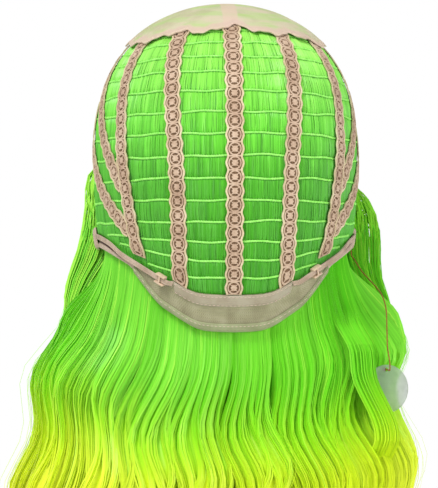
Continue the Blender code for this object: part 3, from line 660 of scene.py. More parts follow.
def tinted_tubes(paths, radii, sides, tones, heights):
    """Tubes that each have a tone, and a map of tone by height for them."""
    mesh = tube_mesh(paths, radii, sides)
    corners = np.arange(len(mesh.vertices))
    points = np.empty(len(corners) * 3, np.float32)
    mesh.vertices.foreach_get("co", points)
    height = (points[2::3] - heights[0]) / (heights[1] - heights[0])
    tone = np.asarray(tones, np.float32)[corners // (len(corners) // len(tones))]
    layer = mesh.attributes.new("tone", "FLOAT", "POINT")
    layer.data.foreach_set("value", tone)
    used = np.empty(len(mesh.loops), np.int32)
    mesh.loops.foreach_get("vertex_index", used)
    nudge = (corners % sides) / sides * CHART_NUDGE
    while mesh.uv_layers:
        mesh.uv_layers.remove(mesh.uv_layers[0])
    chart = mesh.uv_layers.new(name="OFBake")
    spots = np.stack((mix(*FIBRE_CHART, tone) + nudge, mix(*CHART_HEIGHTS, height)), 1)[used]
    chart.uv.foreach_set("vector", spots.astype(np.float32).ravel())
    return mesh


def weft_fibres(row, end):
    """Short hair of a row, from under its header to under the next one."""
    count = int(row_length(row, end) / WEFT_SPACING)
    spread = np.linspace(-end, end, count) + row_draw.uniform(-0.25, 0.25, count) * 2 * end / count
    spread = np.clip(spread, -end, end)
    lean = row_draw.normal(0, WEFT_LEAN, count) / HEAD_HALF_DEPTH
    curl = row_draw.normal(0, WEFT_CURL, count) / HEAD_HALF_DEPTH
    angle = spread[:, None] + lean[:, None] * WEFT_SHARES + curl[:, None] * np.sin(pi * WEFT_SHARES)
    angle = np.clip(angle, -end, end)
    top = row_top(row, angle) + row_sway(row, angle) - WEFT_TOP_TUCK
    bottom = row_bottom(row, angle) + row_sway(row + 1, angle) - WEFT_BOTTOM_TUCK
    z = mix(top, np.minimum(bottom, top - WEFT_LEAST_LENGTH), WEFT_SHARES)
    lift = row_draw.uniform(-0.00018, 0.00010, count)[:, None] + WEFT_LIFTS
    streaks = sum(size * np.sin(spread * times + row * start) for size, times, start in WEFT_STREAKS)
    tones = np.clip(WEFT_TONE + streaks + row_draw.normal(0, 0.12, count), 0.05, 1)
    radii = np.tile(WEFT_RADIUS * WEFT_TAPER, (count, 1))
    return tinted_tubes(on_head(angle, z, lift), radii, 4, tones, WEFT_HEIGHTS)


def header_line(line, radius, sides, tone):
    """Cord along a row, closed at both ends."""
    radii = np.full(len(line), radius)
    radii[[0, -1]] = CLOSED_END
    return tinted_tubes([line], [radii], sides, [tone], WEFT_HEIGHTS)


def weft_header(row, end):
    """Header cord of a row, the overlock thread wound along it, and the fold below it, whose dark green is
    painted shadow under the header.
    """
    steps = int(row_length(row, end) / STITCH_PITCH * STITCH_STEPS)
    angle = np.linspace(-end, end, steps)
    z = row_top(row, angle) + row_sway(row, angle) - HEADER_HEIGHT / 2
    core = on_head(angle, z, HEADER_LIFT)
    out = unit(on_head(angle, z, HEADER_LIFT + 0.001) - core)
    up = np.cross(out, unit(np.gradient(core, axis=0)))
    wind = (np.arange(steps) * 2 * pi / STITCH_STEPS + row)[:, None]
    wound = core + HEADER_RADIUS * np.cos(wind) * out + STITCH_RISE * np.sin(wind) * up
    fold = on_head(angle, z - FOLD_DROP, FOLD_LIFT)
    fewer = np.linspace(0, steps - 1, steps // 4 + 1).astype(int)
    return (header_line(core[fewer], HEADER_RADIUS, 6, 0.80), header_line(wound, STITCH_RADIUS, 3, 0.97),
            header_line(fold[fewer], FOLD_RADIUS, 4, 0.02))


def weft_backing(row, end):
    """Flattened hair under the loose fibres, as thick as the sewn row."""
    def place(across, along, through):
        angle = mix(-end, end, across)
        top = row_top(row, angle) + row_sway(row, angle) - BACKING_TUCK
        bottom = row_bottom(row, angle) + row_sway(row + 1, angle) - BACKING_TUCK
        z = mix(np.minimum(bottom, top - WEFT_LEAST_LENGTH), top, along)
        edge = smooth(np.minimum(along, 1 - along) / 0.15)
        return on_head(angle, z, mix(-ROW_DEPTH, mix(*BACKING_LIFTS, edge), through))
    return bent_slab(ceil(2 * end / radians(3)), 6, place, (2 * end * HEAD_HALF_DEPTH, 0.013), MASS_CHART)


def fade_height(made):
    """Height for the colour of hair, which fades sooner out at the sides."""
    parts = made.node("SeparateXYZ", Vector=made.place())
    aside = made.math("SUBTRACT", made.math("ABSOLUTE", parts["X"]), FADE_FROM)
    return made.math("MULTIPLY_ADD", made.math("MAXIMUM", aside, 0.0), -FADE_SIDES, parts["Z"])


def shifted_share(made, value, shift, heights):
    """Share of a fade by height, moved up or down by a value from nought to one."""
    moved = made.math("MULTIPLY_ADD", made.math("SUBTRACT", value, 0.5), shift, fade_height(made))
    return made.share(moved, *heights)


def hair_finish(name, places, colours, heights, roughness, dark, highlight_share=0.0, **sockets):
    """Glossy synthetic hair: colour by height, shifted and shaded by each fibre's tone, with the palest
    fibres mixed towards a painted highlight.
    """
    made = Finish(name, roughness, **sockets)
    tone = made.node("Attribute", {"attribute_name": "tone"})["Fac"]
    colour = made.ramp(shifted_share(made, tone, TONE_SHIFT, heights), places, colours)
    shade = made.ramp(tone, (0.0, 0.45, 1.0), (dark, (0.93, 0.95, 0.9), (1.18, 1.10, 1.25)))
    shaded = made.blend(1.0, colour, shade, "MULTIPLY")
    return made.paint(made.blend(made.share(tone, 0.8, 1.0, highlight_share), shaded, PAINTED_HIGHLIGHT_HAIR))


# The weft hair's colour by height is painted light: lighter on the crown, darker on the lower rows.
weft_finish = hair_finish("weft_hair", (0.0, 0.45, 0.62, 1.0), WEFT_LIT_COLOURS, (-0.08, 0.09), 0.42,
                          (0.60, 0.70, 0.55))
header_finish = speckled("weft_header", 0.55, HEADER_COLOURS, 420.0, 2.0)
# The fold's dark green is painted shadow under the header.
fold_shadow_finish = Finish("weft_fold_painted_shadow", 0.7, FOLD_SHADOW_COLOUR).material
pressed = Finish("pressed_hair", 0.5)
strands = pressed.noise(1.0, 3.0, pressed.stretched(pressed.weave(), (1400.0, 40.0, 1.0)))
backing_finish = pressed.paint(pressed.ramp(strands, (0.3, 0.75), BACKING_COLOURS), strands, 0.0004)

for row in range(ROW_COUNT):
    reach = row_ends[row]
    cord, wound, fold = weft_header(row, reach)
    add_piece(f"weft_hair_{row + 1:02d}", "cap", f"weft_row_{row + 1:02d}", "weft_hair",
              (weft_fibres(row, reach), weft_finish), (weft_backing(row, reach), backing_finish),
              (cord, header_finish), (wound, header_finish), (fold, fold_shadow_finish))


# Lace straps: narrow trimming lace the rows are sewn to, a chain of rings with a flower in each
# and a scalloped edge on both sides, over a thin ground whose dark brown is painted shade seen through the
# holes.

SIDES = (("left", -1), ("right", 1))
STRAP_WIDTH = 0.0125
STRAP_LAYER = 0.0007 + CLEARANCE
STRAP_THICKNESS = 0.0008
SECOND_STRAP_LAYER = STRAP_LAYER + STRAP_THICKNESS + CLEARANCE
LACE_TAPER = 0.06
LACE_PITCH = 0.0086
RING_RADII = (0.00415, 0.00330)
FLOWER_RADIUS = 0.00215
FLOWER_DENT = 0.80
SPOKE_REACH = 0.0026
SPOKE_SIZE = (0.0018, 0.0005, 1, 1)
BAR_SIZE = (0.0078, 0.0009, 1, 1)
EDGE_REACH = 0.00475
EDGE_SCALLOP = 0.00055
EDGE_WIDTH = 0.00125
YARN_FOOT = 0.00015
YARN_TOP = 0.00078
FLOWER_RISE = 0.00022
FLOWER_REACH = 0.0023
EDGE_RISE = 0.00012
EDGE_FROM = 0.0044
GROUND_WIDTH = 0.0098
GROUND_LIFT = 0.00012
GROUND_THICKNESS = 0.00018
GROUND_CELL = 0.004
LACE_COLOURS = ((0.41, 0.27, 0.18), (0.56, 0.40, 0.28), (0.66, 0.50, 0.37))
LACE_EDGE_COLOURS = ((0.49, 0.37, 0.21), (0.66, 0.52, 0.33), (0.77, 0.66, 0.44))
# Ground colours: dark brown, painted shade seen through the holes of the lace.
GROUND_SHADE_COLOURS = ((0.115, 0.068, 0.036), (0.23, 0.14, 0.075))
INNER_COURSE = (34.5, 24.8, 25.6)
OUTER_COURSE = (62, 51.5, 46)
SIDE_COURSE = (92, 58, 53.5)
TEMPLE_COURSE = (100, 77.3, 50.5)
SIDE_STRAP_END = -0.008
TEMPLE_STRAP_ENDS = (0.045, -0.035)
SLIDER_ROOM = 0.0010 + 4 * CLEARANCE
BAND_ROOM = 2 * CLEARANCE
INNER_SLANT = 0.55
OUTER_SLANT = 0.5
OUTER_CLIMB_FROM = 0.032
OUTER_CLIMB = 0.018
OUTER_FALL_FROM = TEMPLE_STRAP_ENDS[1] - 0.8 * STRAP_WIDTH
OUTER_FALL = 0.008


def through_three(course, z):
    """Smooth line of angles through three (height, angle) points."""
    total = 0.0
    for height, angle in course:
        weight = 1.0
        for other, _ in course:
            if other != height:
                weight = weight * (z - other) / (height - other)
        total = total + angle * weight
    return total


def strap_place(course, layer, slant):
    """Length of a strap, and the place on the head of points on it: across, along and over it."""
    end = course[-1][0]
    heights = even_heights(
        lambda z: on_head(through_three(course, z), z), course[0][0], end - STRAP_WIDTH, 200)
    centre = on_head(through_three(course, heights), heights)
    sideways = unit(np.cross(head_normal(*centre.T), np.gradient(centre, axis=0)))
    walked = walked_along(centre)
    length = np.interp(-end, -heights, walked)

    def place(across, along, over):
        across = across * (1 - LACE_TAPER * along / length)
        cut = slant * (STRAP_WIDTH / 2 - np.sign(course[1][1]) * across)
        along = along + cut * smooth((along - length) / STRAP_WIDTH + 1)
        spot = at_length(along, walked, centre) + at_length(along, walked, sideways) * across[..., None]
        x, y, z = spot.T
        angle = np.arctan2(x / HEAD_HALF_WIDTH, -y / HEAD_HALF_DEPTH)
        return on_head(angle, z, layer(z) + over)
    return length, place


def flat_lace(name, work):
    """Flat mesh of part of a lace pattern, facing up."""
    work.normal_update()
    for face in work.faces:
        if face.normal.z < 0:
            face.normal_flip()
    return mesh_of(name, work)


rings = bmesh.new()
for radius in RING_RADII:
    bmesh.ops.create_circle(rings, segments=20, radius=radius)
bmesh.ops.bridge_loops(rings, edges=rings.edges[:])
flower = bmesh.ops.create_circle(rings, cap_ends=True, segments=12, radius=FLOWER_RADIUS)
for number, corner in enumerate(flower["verts"]):
    corner.co *= 1.0 if number % 2 else FLOWER_DENT
spoke_bar = Matrix.Translation((SPOKE_REACH, 0, 0)) @ Matrix.Diagonal(SPOKE_SIZE)
for spoke in range(4):
    turn = Matrix.Rotation(pi / 4 + spoke * pi / 2, 4, "Z")
    bmesh.ops.create_grid(rings, x_segments=1, y_segments=1, size=0.5, matrix=turn @ spoke_bar)
bar = Matrix.Translation((0, LACE_PITCH / 2, 0)) @ Matrix.Diagonal(BAR_SIZE)
bmesh.ops.create_grid(rings, x_segments=3, y_segments=1, size=0.5, matrix=bar)
edges = bmesh.new()
for _, side in SIDES:
    edge = bmesh.ops.create_grid(edges, x_segments=1, y_segments=10, size=0.5)
    for corner in edge["verts"]:
        along = corner.co.y
        middle = EDGE_REACH + EDGE_SCALLOP * cos(2 * pi * along)
        corner.co = (side * (middle + EDGE_WIDTH * corner.co.x), along * LACE_PITCH, 0)
lace_patterns = [flat_lace("lace_rings", rings), flat_lace("lace_edges", edges)]


def lace_strap(name, node, course, layer, slant=0.0):
    """Chain of lace rings laid along a course, over a ground whose dark brown is painted shade seen through
    the holes; its end can be cut on a slant.
    """
    length, place = strap_place(course, layer, slant)
    count = round(length / LACE_PITCH)
    parts = []
    for pattern in lace_patterns:
        work = bmesh.new()
        for ring in range(count):
            before = len(work.verts)
            work.from_mesh(pattern)
            work.verts.ensure_lookup_table()
            bmesh.ops.translate(work, verts=work.verts[before:], vec=(0, (ring + 0.5) * LACE_PITCH, 0))
        across, along, side_up = thickened(work).T
        out = np.hypot(across, ((along / LACE_PITCH) % 1 - 0.5) * LACE_PITCH)
        raised = YARN_TOP + FLOWER_RISE * (out < FLOWER_REACH) + EDGE_RISE * (np.abs(across) > EDGE_FROM)
        over = np.where(side_up > 0.5, raised, YARN_FOOT)
        along = np.clip(along * length / (count * LACE_PITCH), 0, length)
        parts.append(bent(work, place(across, along, over)))

    def ground_place(across, along, through):
        return place((across - 0.5) * GROUND_WIDTH, along * length, GROUND_LIFT + GROUND_THICKNESS * through)
    ground = bent_slab(2, ceil(length / GROUND_CELL), ground_place, (GROUND_WIDTH, length))
    add_piece(name, "cap", node, "lace",
              (parts[0], lace_finish), (parts[1], lace_edge_finish), (ground, ground_shade_finish))


def lace_yarn(name, colours):
    """Fuzzy yarn of the lace, uneven along the strap."""
    made = Finish(name, 0.85)
    yarn = made.noise(620.0, 3.0)
    share = made.math("MULTIPLY_ADD", yarn, 0.5, made.math("MULTIPLY", made.noise(70.0, 1.0), 0.5))
    return made.paint(made.ramp(share, (0.32, 0.5, 0.66), colours), yarn, 0.00025)


lace_finish = lace_yarn("trimming_lace", LACE_COLOURS)
lace_edge_finish = lace_yarn("lace_edging", LACE_EDGE_COLOURS)
# The lace's ground is painted shade: dark brown where shaded hair shows through the holes.
shade_ground = Finish("lace_ground_painted_shade", 0.9)
cells = shade_ground.node("TexVoronoi", Vector=shade_ground.weave(), Scale=1100.0)["Distance"]
ground_shade_finish = shade_ground.paint(shade_ground.ramp(cells, (0.2, 0.6), GROUND_SHADE_COLOURS))


def moved_line(line, rise):
    """Edge line moved up by a rise, or down by a negative one."""
    return lambda angle: line(angle) + rise


tucked_edge = moved_line(crown_edge, EDGE_TUCK)


def flat_layer(z):
    return np.full_like(z, STRAP_LAYER)


def outer_layer(z):
    """The outer strap crosses over the ends of the side and temple straps, then comes down again."""
    climb = smooth((OUTER_CLIMB_FROM - z) / OUTER_CLIMB)
    fall = smooth((OUTER_FALL_FROM - z) / OUTER_FALL)
    return mix(STRAP_LAYER, SECOND_STRAP_LAYER, climb * (1 - fall))


def strap_course(degrees, side, start=None, stop=None, gap=0.0):
    """Course down one side, from under the crown net and to the band unless it's given its ends."""
    top, level, end = (radians(angle) for angle in degrees)
    start = float(tucked_edge(top)) if start is None else start
    stop = float(band_top(end)) + gap if stop is None else stop
    return (start, top * side), (0.0, level * side), (stop, end * side)


lace_strap("centre_lace", "centre_strap", strap_course((0, 0, 0), 1, gap=BAND_ROOM), flat_layer)
for side_name, side in SIDES:
    inner_gap = BAND_ROOM + INNER_SLANT * STRAP_WIDTH / 2
    outer_gap = SLIDER_ROOM + OUTER_SLANT * STRAP_WIDTH / 2
    for kind, course, layer, slant in (
            ("inner", strap_course(INNER_COURSE, side, gap=inner_gap), flat_layer, INNER_SLANT),
            ("outer", strap_course(OUTER_COURSE, side, gap=outer_gap), outer_layer, OUTER_SLANT),
            ("side", strap_course(SIDE_COURSE, side, stop=SIDE_STRAP_END), flat_layer, 0.0),
            ("temple", strap_course(TEMPLE_COURSE, side, *TEMPLE_STRAP_ENDS), flat_layer, 0.0)):
        lace_strap(f"{kind}_lace_{side_name}", f"{kind}_strap_{side_name}", course, layer, slant)
for pattern in lace_patterns:
    bpy.data.meshes.remove(pattern)


# Crown net: one round of sheer beige net pulled over the top, hemmed along its wavy edge. The hair
# under it shows through in greenish patches, and so does the strap that crosses the crown.

NET_LAYER = SECOND_STRAP_LAYER + CLEARANCE
NET_THICKNESS = 0.0006
NET_PITCH = 0.0013
NET_DROP = 0.0022
NET_WAVES = ((0.0009, 9, 0.8), (0.0009, 21, 0.0), (0.0004, 47, 0.0))
NET_RUMPLE = 0.00022
NET_HEM = 0.0006
NET_COLOURS = ((0.50, 0.47, 0.28), (0.62, 0.58, 0.38), (0.70, 0.60, 0.44))
NET_SHADES = ((0.80, 0.80, 0.80), (1.06, 1.06, 1.06))
UNDER_GREEN = (0.40, 0.66, 0.16)
UNDER_STRAP = (0.74, 0.55, 0.44)
HEM_PINK = (0.70, 0.52, 0.42)


def net_edge(angle):
    """Lower edge of the net, drawn down a little between the straps."""
    turn = turn_of(angle)
    slack = smooth(turn / radians(18)) * (1 - smooth((turn - radians(60)) / radians(50)))
    waves = sum(size * np.sin(count * angle + start) for size, count, start in NET_WAVES)
    return crown_edge(angle) - NET_DROP * slack + waves


def crown_place(across, along, through):
    """Places of a square sheet drawn out into a round and laid over the crown."""
    x, y = 2 * across - 1, 2 * along - 1
    disc_x, disc_y = x * np.sqrt(1 - y * y / 2), y * np.sqrt(1 - x * x / 2)
    out = np.minimum(1.0, np.hypot(disc_x, disc_y))
    angle = np.arctan2(disc_x, -disc_y)
    share = out * head_share(net_edge(angle))
    z = CROWN_HEIGHT * np.clip(1 - share ** 2, 0, 1) ** (1 / CROWN_FULLNESS)
    rumple = NET_RUMPLE * np.sin(13 * angle + 9 * out) * smooth((out - 0.35) / 0.5)
    hem = NET_HEM * smooth((out - 0.955) / 0.03)
    thick = (NET_THICKNESS + hem) * through * np.where(out > 0.995, 0.55, 1.0)
    return on_head(angle, z, NET_LAYER + rumple * through + thick)


net = Finish("sheer_net", 0.8)
net_spot = net.place()
net_parts = net.node("SeparateXYZ", Vector=net_spot)
threads = [net.math("ABSOLUTE", net.math("SINE", net.math("MULTIPLY", net_parts[axis], 2 * pi / NET_PITCH)))
           for axis in ("X", "Y")]
net_height = net.math("MAXIMUM", *threads)
hue = net.noise(46.0, 3.0, net_spot)
fabric = net.ramp(hue, (0.3, 0.5, 0.7), NET_COLOURS)
hair_under = net.noise(1.6, 2.0, net.stretched(net_spot, (14.0, 40.0, 160.0)))
fabric = net.blend(net.share(hair_under, 0.42, 0.68, 0.60), fabric, UNDER_GREEN)
off_middle = net.math("ABSOLUTE", net_parts["X"])
fabric = net.blend(net.share(off_middle, 0.0052, 0.0042, 0.70), fabric, UNDER_STRAP)
flat_parts = net.node("SeparateXYZ", Vector=net.weave())
square = [net.math("POWER", net.math("MULTIPLY_ADD", flat_parts[axis], 2.0, -1.0), 2.0)
          for axis in ("X", "Y")]
disc_reach = net.math("SUBTRACT", net.math("ADD", *square), net.math("MULTIPLY", *square))
hem_hue = net.math("MULTIPLY_ADD", hue, 0.30, disc_reach)
fabric = net.blend(net.share(hem_hue, 0.98, 1.06, 0.85), fabric, HEM_PINK)
shaded = net.ramp(net_height, (0.2, 0.8), NET_SHADES)
net_finish = net.paint(net.blend(1.0, fabric, shaded, "MULTIPLY"), net_height, 0.00025)
add_piece("crown_net_sheer", "cap", "crown_net", "net",
          (bent_slab(64, 64, crown_place, (1.0, 1.0)), net_finish))


# Front lace: a fine net panel from ear to ear over the forehead, bound along its edge with a folded
# tape that is stitched through.

LACE_THICKNESS = 0.0008
FOREHEAD_RIM = 0.062
TEMPLE_RIM = -0.034
FRONT_SPAN = (FRONT_ANGLE, 2 * pi - FRONT_ANGLE)
FRONT_BINDING_WIDTH = 0.006
FRONT_BINDING_LAYER = LACE_THICKNESS + CLEARANCE
TAPE_THICKNESS = 0.0008
PANEL_SWELL = 0.0002
BINDING_SWELL = 0.0003
FRONT_SEAM_RISE = 0.0046
FRONT_SEAM_LIFT = FRONT_BINDING_LAYER + TAPE_THICKNESS + 0.00015
SEAM_PITCH = 0.0024
SEAM_DASH = 0.0016
SEAM_RADIUS = 0.0002
DASH_SHARES = np.array((0.0, 0.15, 0.5, 0.85, 1.0))
DASH_LIFTS = np.array((-0.0002, 0.00012, 0.0002, 0.00012, -0.0002))
DASH_TAPER = np.array((0.1, 0.9, 1, 0.9, 0.1))
TAPE_COLOURS = ((0.46, 0.33, 0.25), (0.60, 0.45, 0.35), (0.70, 0.55, 0.45))
STITCH_COLOUR = (0.66, 0.52, 0.42)


def front_rim(angle):
    """Height of the cap's edge round the face, highest over the forehead."""
    forward = np.maximum(0.0, turn_of(angle) - FRONT_ANGLE) / (pi - FRONT_ANGLE)
    return mix(TEMPLE_RIM, FOREHEAD_RIM, (1 - np.cos(pi * forward)) / 2)


def run_length(span, line):
    """Length round the head of a line between two angles."""
    middle = sum(span) / 2
    return abs(span[1] - span[0]) * float(girth(middle, line(middle)))


def band(span, low, high, lift, thickness, cells, rows, swell=0.0):
    """Tape or panel laid on the head between two angles and two edge lines, with rounded edges."""
    def place(across, along, through):
        angle = mix(*span, across)
        round_edge = np.sqrt(np.clip(1 - np.abs(2 * along - 1) ** 6, 0.06, 1))
        raised = (thickness + swell * (1 - (2 * along - 1) ** 2)) * round_edge
        return on_head(angle, mix(low(angle), high(angle), along), lift + raised * through)
    middle = sum(span) / 2
    return bent_slab(cells, rows, place, (run_length(span, low), float(np.abs(high(middle) - low(middle)))))


def stitches(paths):
    """Stitches along paths of five points, thin where they go into the cloth."""
    return tube_mesh(paths, np.tile(SEAM_RADIUS * DASH_TAPER, (len(paths), 1)))


def seam(span, line, lift):
    """Row of machine stitches along a line on the head."""
    count = int(run_length(span, line) / SEAM_PITCH)
    starts = np.linspace(*span, count + 1)[:-1]
    step = (span[1] - span[0]) / count * SEAM_DASH / SEAM_PITCH
    angle = starts[:, None] + step * DASH_SHARES
    return stitches(on_head(angle, line(angle), lift + DASH_LIFTS))


def woven(name, colours, rib, roughness=0.85, across=False):
    """Woven tape: close ribs along or across it, with a weft between them and uneven dye."""
    made = Finish(name, roughness)
    parts = made.node("SeparateXYZ", Vector=made.weave())
    first, second = ("Y", "X") if across else ("X", "Y")
    ribs = made.math("SINE", made.math("MULTIPLY", parts[first], 2 * pi / rib))
    picks = made.math("SINE", made.math("MULTIPLY", parts[second], 2 * pi / (rib * 1.7)))
    cloth = made.math("MULTIPLY_ADD", made.math("MULTIPLY", ribs, picks), 0.35,
                      made.math("MULTIPLY_ADD", ribs, 0.15, 0.5))
    dye = made.math("MULTIPLY_ADD", cloth, 0.35, made.math("MULTIPLY", made.noise(120.0, 4.0), 0.65))
    return made.paint(made.ramp(dye, (0.3, 0.5, 0.7), colours), cloth, 0.0003)


panel_finish = woven("front_net", NET_COLOURS, 0.0012)
tape_finish = woven("woven_tape", TAPE_COLOURS, 0.0007)
stitch_finish = Finish("sewing_thread", 0.7, STITCH_COLOUR).material
add_piece("front_lace_panel", "cap", "front_lace", "lace",
          (band(FRONT_SPAN, front_rim, tucked_edge, 0.0, LACE_THICKNESS, 72, 16), panel_finish))
add_piece("front_edge_binding", "cap", "front_binding", "tape",
          (band(FRONT_SPAN, front_rim, moved_line(front_rim, FRONT_BINDING_WIDTH), FRONT_BINDING_LAYER,
                TAPE_THICKNESS, 90, 6, BINDING_SWELL), tape_finish),
          (seam(FRONT_SPAN, moved_line(front_rim, FRONT_SEAM_RISE), FRONT_SEAM_LIFT), stitch_finish))


# Nape band: an olive-beige woven panel with a paler tape along its top and a folded binding along
# its lower edge, both stitched through. The binding's olive-green cast is a painted reflection of the hair,
# and the dark sheet in the slot above its ends is painted shadow under the elastic.

NAPE_WIDTH = 0.0223
NAPE_HALF_ANGLE = radians(50)
NAPE_SPAN = (-NAPE_HALF_ANGLE, NAPE_HALF_ANGLE)
NARROW_FROM = radians(35.5)
NARROW_TO = radians(55.5)
BAND_THICKNESS = 0.0012
TAPE_LAYER = BAND_THICKNESS + CLEARANCE
UPPER_TAPE_WIDTH = 0.007
UPPER_TAPE_SPAN = (radians(-28.5), radians(28.5))
UPPER_TAPE_SEAMS = (-0.0010, -0.0060)
UPPER_SEAM_LIFT = TAPE_LAYER + TAPE_THICKNESS + 0.00005
LOWER_BINDING_WIDTH = 0.005
LOWER_BINDING_THICKNESS = 0.0012
LOWER_SEAM_RISE = 0.0039
SIDE_BAND_WIDTH = 0.0034
ELASTIC_WIDTH = 0.0036
BAND_SLOT = 0.0018
SIDE_WIDTH = ELASTIC_WIDTH + BAND_SLOT + SIDE_BAND_WIDTH
SLOT_SHADOW_TUCK = 0.0015
SLOT_SHADOW_THICKNESS = 0.0004
PANEL_COLOURS = ((0.25, 0.23, 0.13), (0.36, 0.34, 0.20), (0.46, 0.43, 0.28))
# Hem binding colours: the tape's beige made darker and olive-green, a painted reflection of the green hair
# below it.
HEM_REFLECTION_COLOURS = ((0.26, 0.27, 0.14), (0.34, 0.37, 0.195), (0.42, 0.45, 0.265))
NAPE_TAPE_COLOURS = ((0.34, 0.28, 0.19), (0.44, 0.38, 0.27), (0.51, 0.47, 0.35))
# Painted shadow: colours of the dark sheet in the slot under the elastic.
SLOT_SHADOW_COLOURS = ((0.055, 0.022, 0.018), (0.12, 0.055, 0.04))
SLOT_REACH = (0.0066, 0.0050)
SLOT_FROM = radians(29)


def band_bottom(angle):
    """Lower edge of the nape band and the side bands."""
    narrowing = (turn_of(angle) - NARROW_FROM) / (NARROW_TO - NARROW_FROM)
    return band_top(angle) - mix(NAPE_WIDTH, SIDE_WIDTH, smooth(narrowing))


def slot_bottom(angle):
    """Upper edge of the panel and side tape, which dips beyond the top tape to leave a slot."""
    turn = turn_of(angle)
    drop = mix(*SLOT_REACH, smooth((turn - ELASTIC_RETURNS) / ELASTIC_RETURNS_EASE))
    return band_top(angle) - drop * smooth((turn - SLOT_FROM) / ELASTIC_LEAVES_EASE)


# The slot's dark sheet is painted shadow under the elastic.
slot_shadow_bottom = moved_line(slot_bottom, -SLOT_SHADOW_TUCK)
nape_finish = woven("nape_cloth", PANEL_COLOURS, 0.0011)
nape_tape_finish = woven("nape_tape", NAPE_TAPE_COLOURS, 0.0007)
# The hem's olive-green cast is a painted reflection of the hair.
hem_reflection_finish = woven("hem_tape_green_reflection", HEM_REFLECTION_COLOURS, 0.0008)
slot_shadow_finish = speckled("slot_painted_shadow", 0.9, SLOT_SHADOW_COLOURS, 600.0, 2.0)
add_piece("nape_panel", "cap", "nape_band", "nape_panel",
          (band(NAPE_SPAN, band_bottom, slot_bottom, 0.0, BAND_THICKNESS, 70, 12, PANEL_SWELL), nape_finish),
          (band(NAPE_SPAN, slot_shadow_bottom, sewn_line, 0.0, SLOT_SHADOW_THICKNESS, 70, 4), slot_shadow_finish))
upper_tape = band(UPPER_TAPE_SPAN, moved_line(band_top, -UPPER_TAPE_WIDTH), band_top, TAPE_LAYER,
                  TAPE_THICKNESS, 48, 8, PANEL_SWELL)
tape_seams = [seam(UPPER_TAPE_SPAN, moved_line(band_top, inset), UPPER_SEAM_LIFT)
              for inset in UPPER_TAPE_SEAMS]
add_piece("nape_top_tape", "cap", "nape_upper_tape", "tape", (upper_tape, nape_tape_finish),
          *((tape_seam, stitch_finish) for tape_seam in tape_seams))
add_piece("nape_hem_binding", "cap", "nape_lower_binding", "tape",
          (band(NAPE_SPAN, band_bottom, moved_line(band_bottom, LOWER_BINDING_WIDTH), TAPE_LAYER,
                LOWER_BINDING_THICKNESS, 70, 8, BINDING_SWELL), hem_reflection_finish),
          (seam(NAPE_SPAN, moved_line(band_bottom, LOWER_SEAM_RISE), TAPE_LAYER + LOWER_BINDING_THICKNESS),
           stitch_finish))


# Side bands: tape carried on from the nape panel to each ear tab, with one seam. The dark sheet above it,
# in the slot that the elastic leaves open, is painted shadow under the elastic.

SIDE_BAND_END = radians(98)
SIDE_SEAM_RISE = 0.0012
SIDE_SEAM_LIFT = BAND_THICKNESS + 0.0001
side_band_start = NAPE_HALF_ANGLE + CLEARANCE / float(girth(NAPE_HALF_ANGLE, band_bottom(NAPE_HALF_ANGLE)))
for side_name, side in SIDES:
    span = (side * side_band_start, side * SIDE_BAND_END)
    add_piece(f"side_tape_{side_name}", "cap", f"side_band_{side_name}", "tape",
              (band(span, band_bottom, slot_bottom, 0.0, BAND_THICKNESS, 44, 8, BINDING_SWELL), tape_finish),
              (seam(span, moved_line(band_bottom, SIDE_SEAM_RISE), SIDE_SEAM_LIFT), stitch_finish),
              (band(span, slot_shadow_bottom, sewn_line, 0.0, SLOT_SHADOW_THICKNESS, 44, 4), slot_shadow_finish))


# Ear tabs: sewn pockets of the same tape cloth, stitched round the edge and laid over the ends of the
# side bands. A bendable metal stay lies inside each.

EAR_TAB_ANGLE = radians(98.5)
EAR_TAB_LEVEL = -0.039
EAR_TAB_WIDTH = 0.016
EAR_TAB_HEIGHT = 0.014
EAR_TAB_THICKNESS = 0.0014 + 0.0006 + 2 * CLEARANCE
EAR_SEAM_INSET = 0.0016
EAR_SEAM_LIFT = 0.72 * EAR_TAB_THICKNESS
EAR_DASH_SHARES = np.array((0.05, 0.15, 0.4, 0.6, 0.7))
EAR_DASH_LIFTS = np.array((-0.0003, 0.0001, 0.0002, 0.0001, -0.0003))
STAY_COLOURS = ((0.48, 0.48, 0.49), (0.68, 0.68, 0.69))
tab_girth = float(girth(EAR_TAB_ANGLE, EAR_TAB_LEVEL))


def tab_corner(across, along, inset=0.0):
    """Offsets from the middle of a tab whose corners are rounded."""
    x, y = 2 * across - 1, 2 * along - 1
    pull = np.maximum(np.abs(x), np.abs(y)) / np.maximum((np.abs(x) ** 5 + np.abs(y) ** 5) ** 0.2, 1e-9)
    return x * pull * (EAR_TAB_WIDTH / 2 - inset), y * pull * (EAR_TAB_HEIGHT / 2 - inset)


def on_tab(side, x, y, lift):
    """Points on the head at offsets from the middle of a tab, lifted off the band."""
    return on_head(side * (EAR_TAB_ANGLE + x / tab_girth), EAR_TAB_LEVEL + y, TAPE_LAYER + lift)


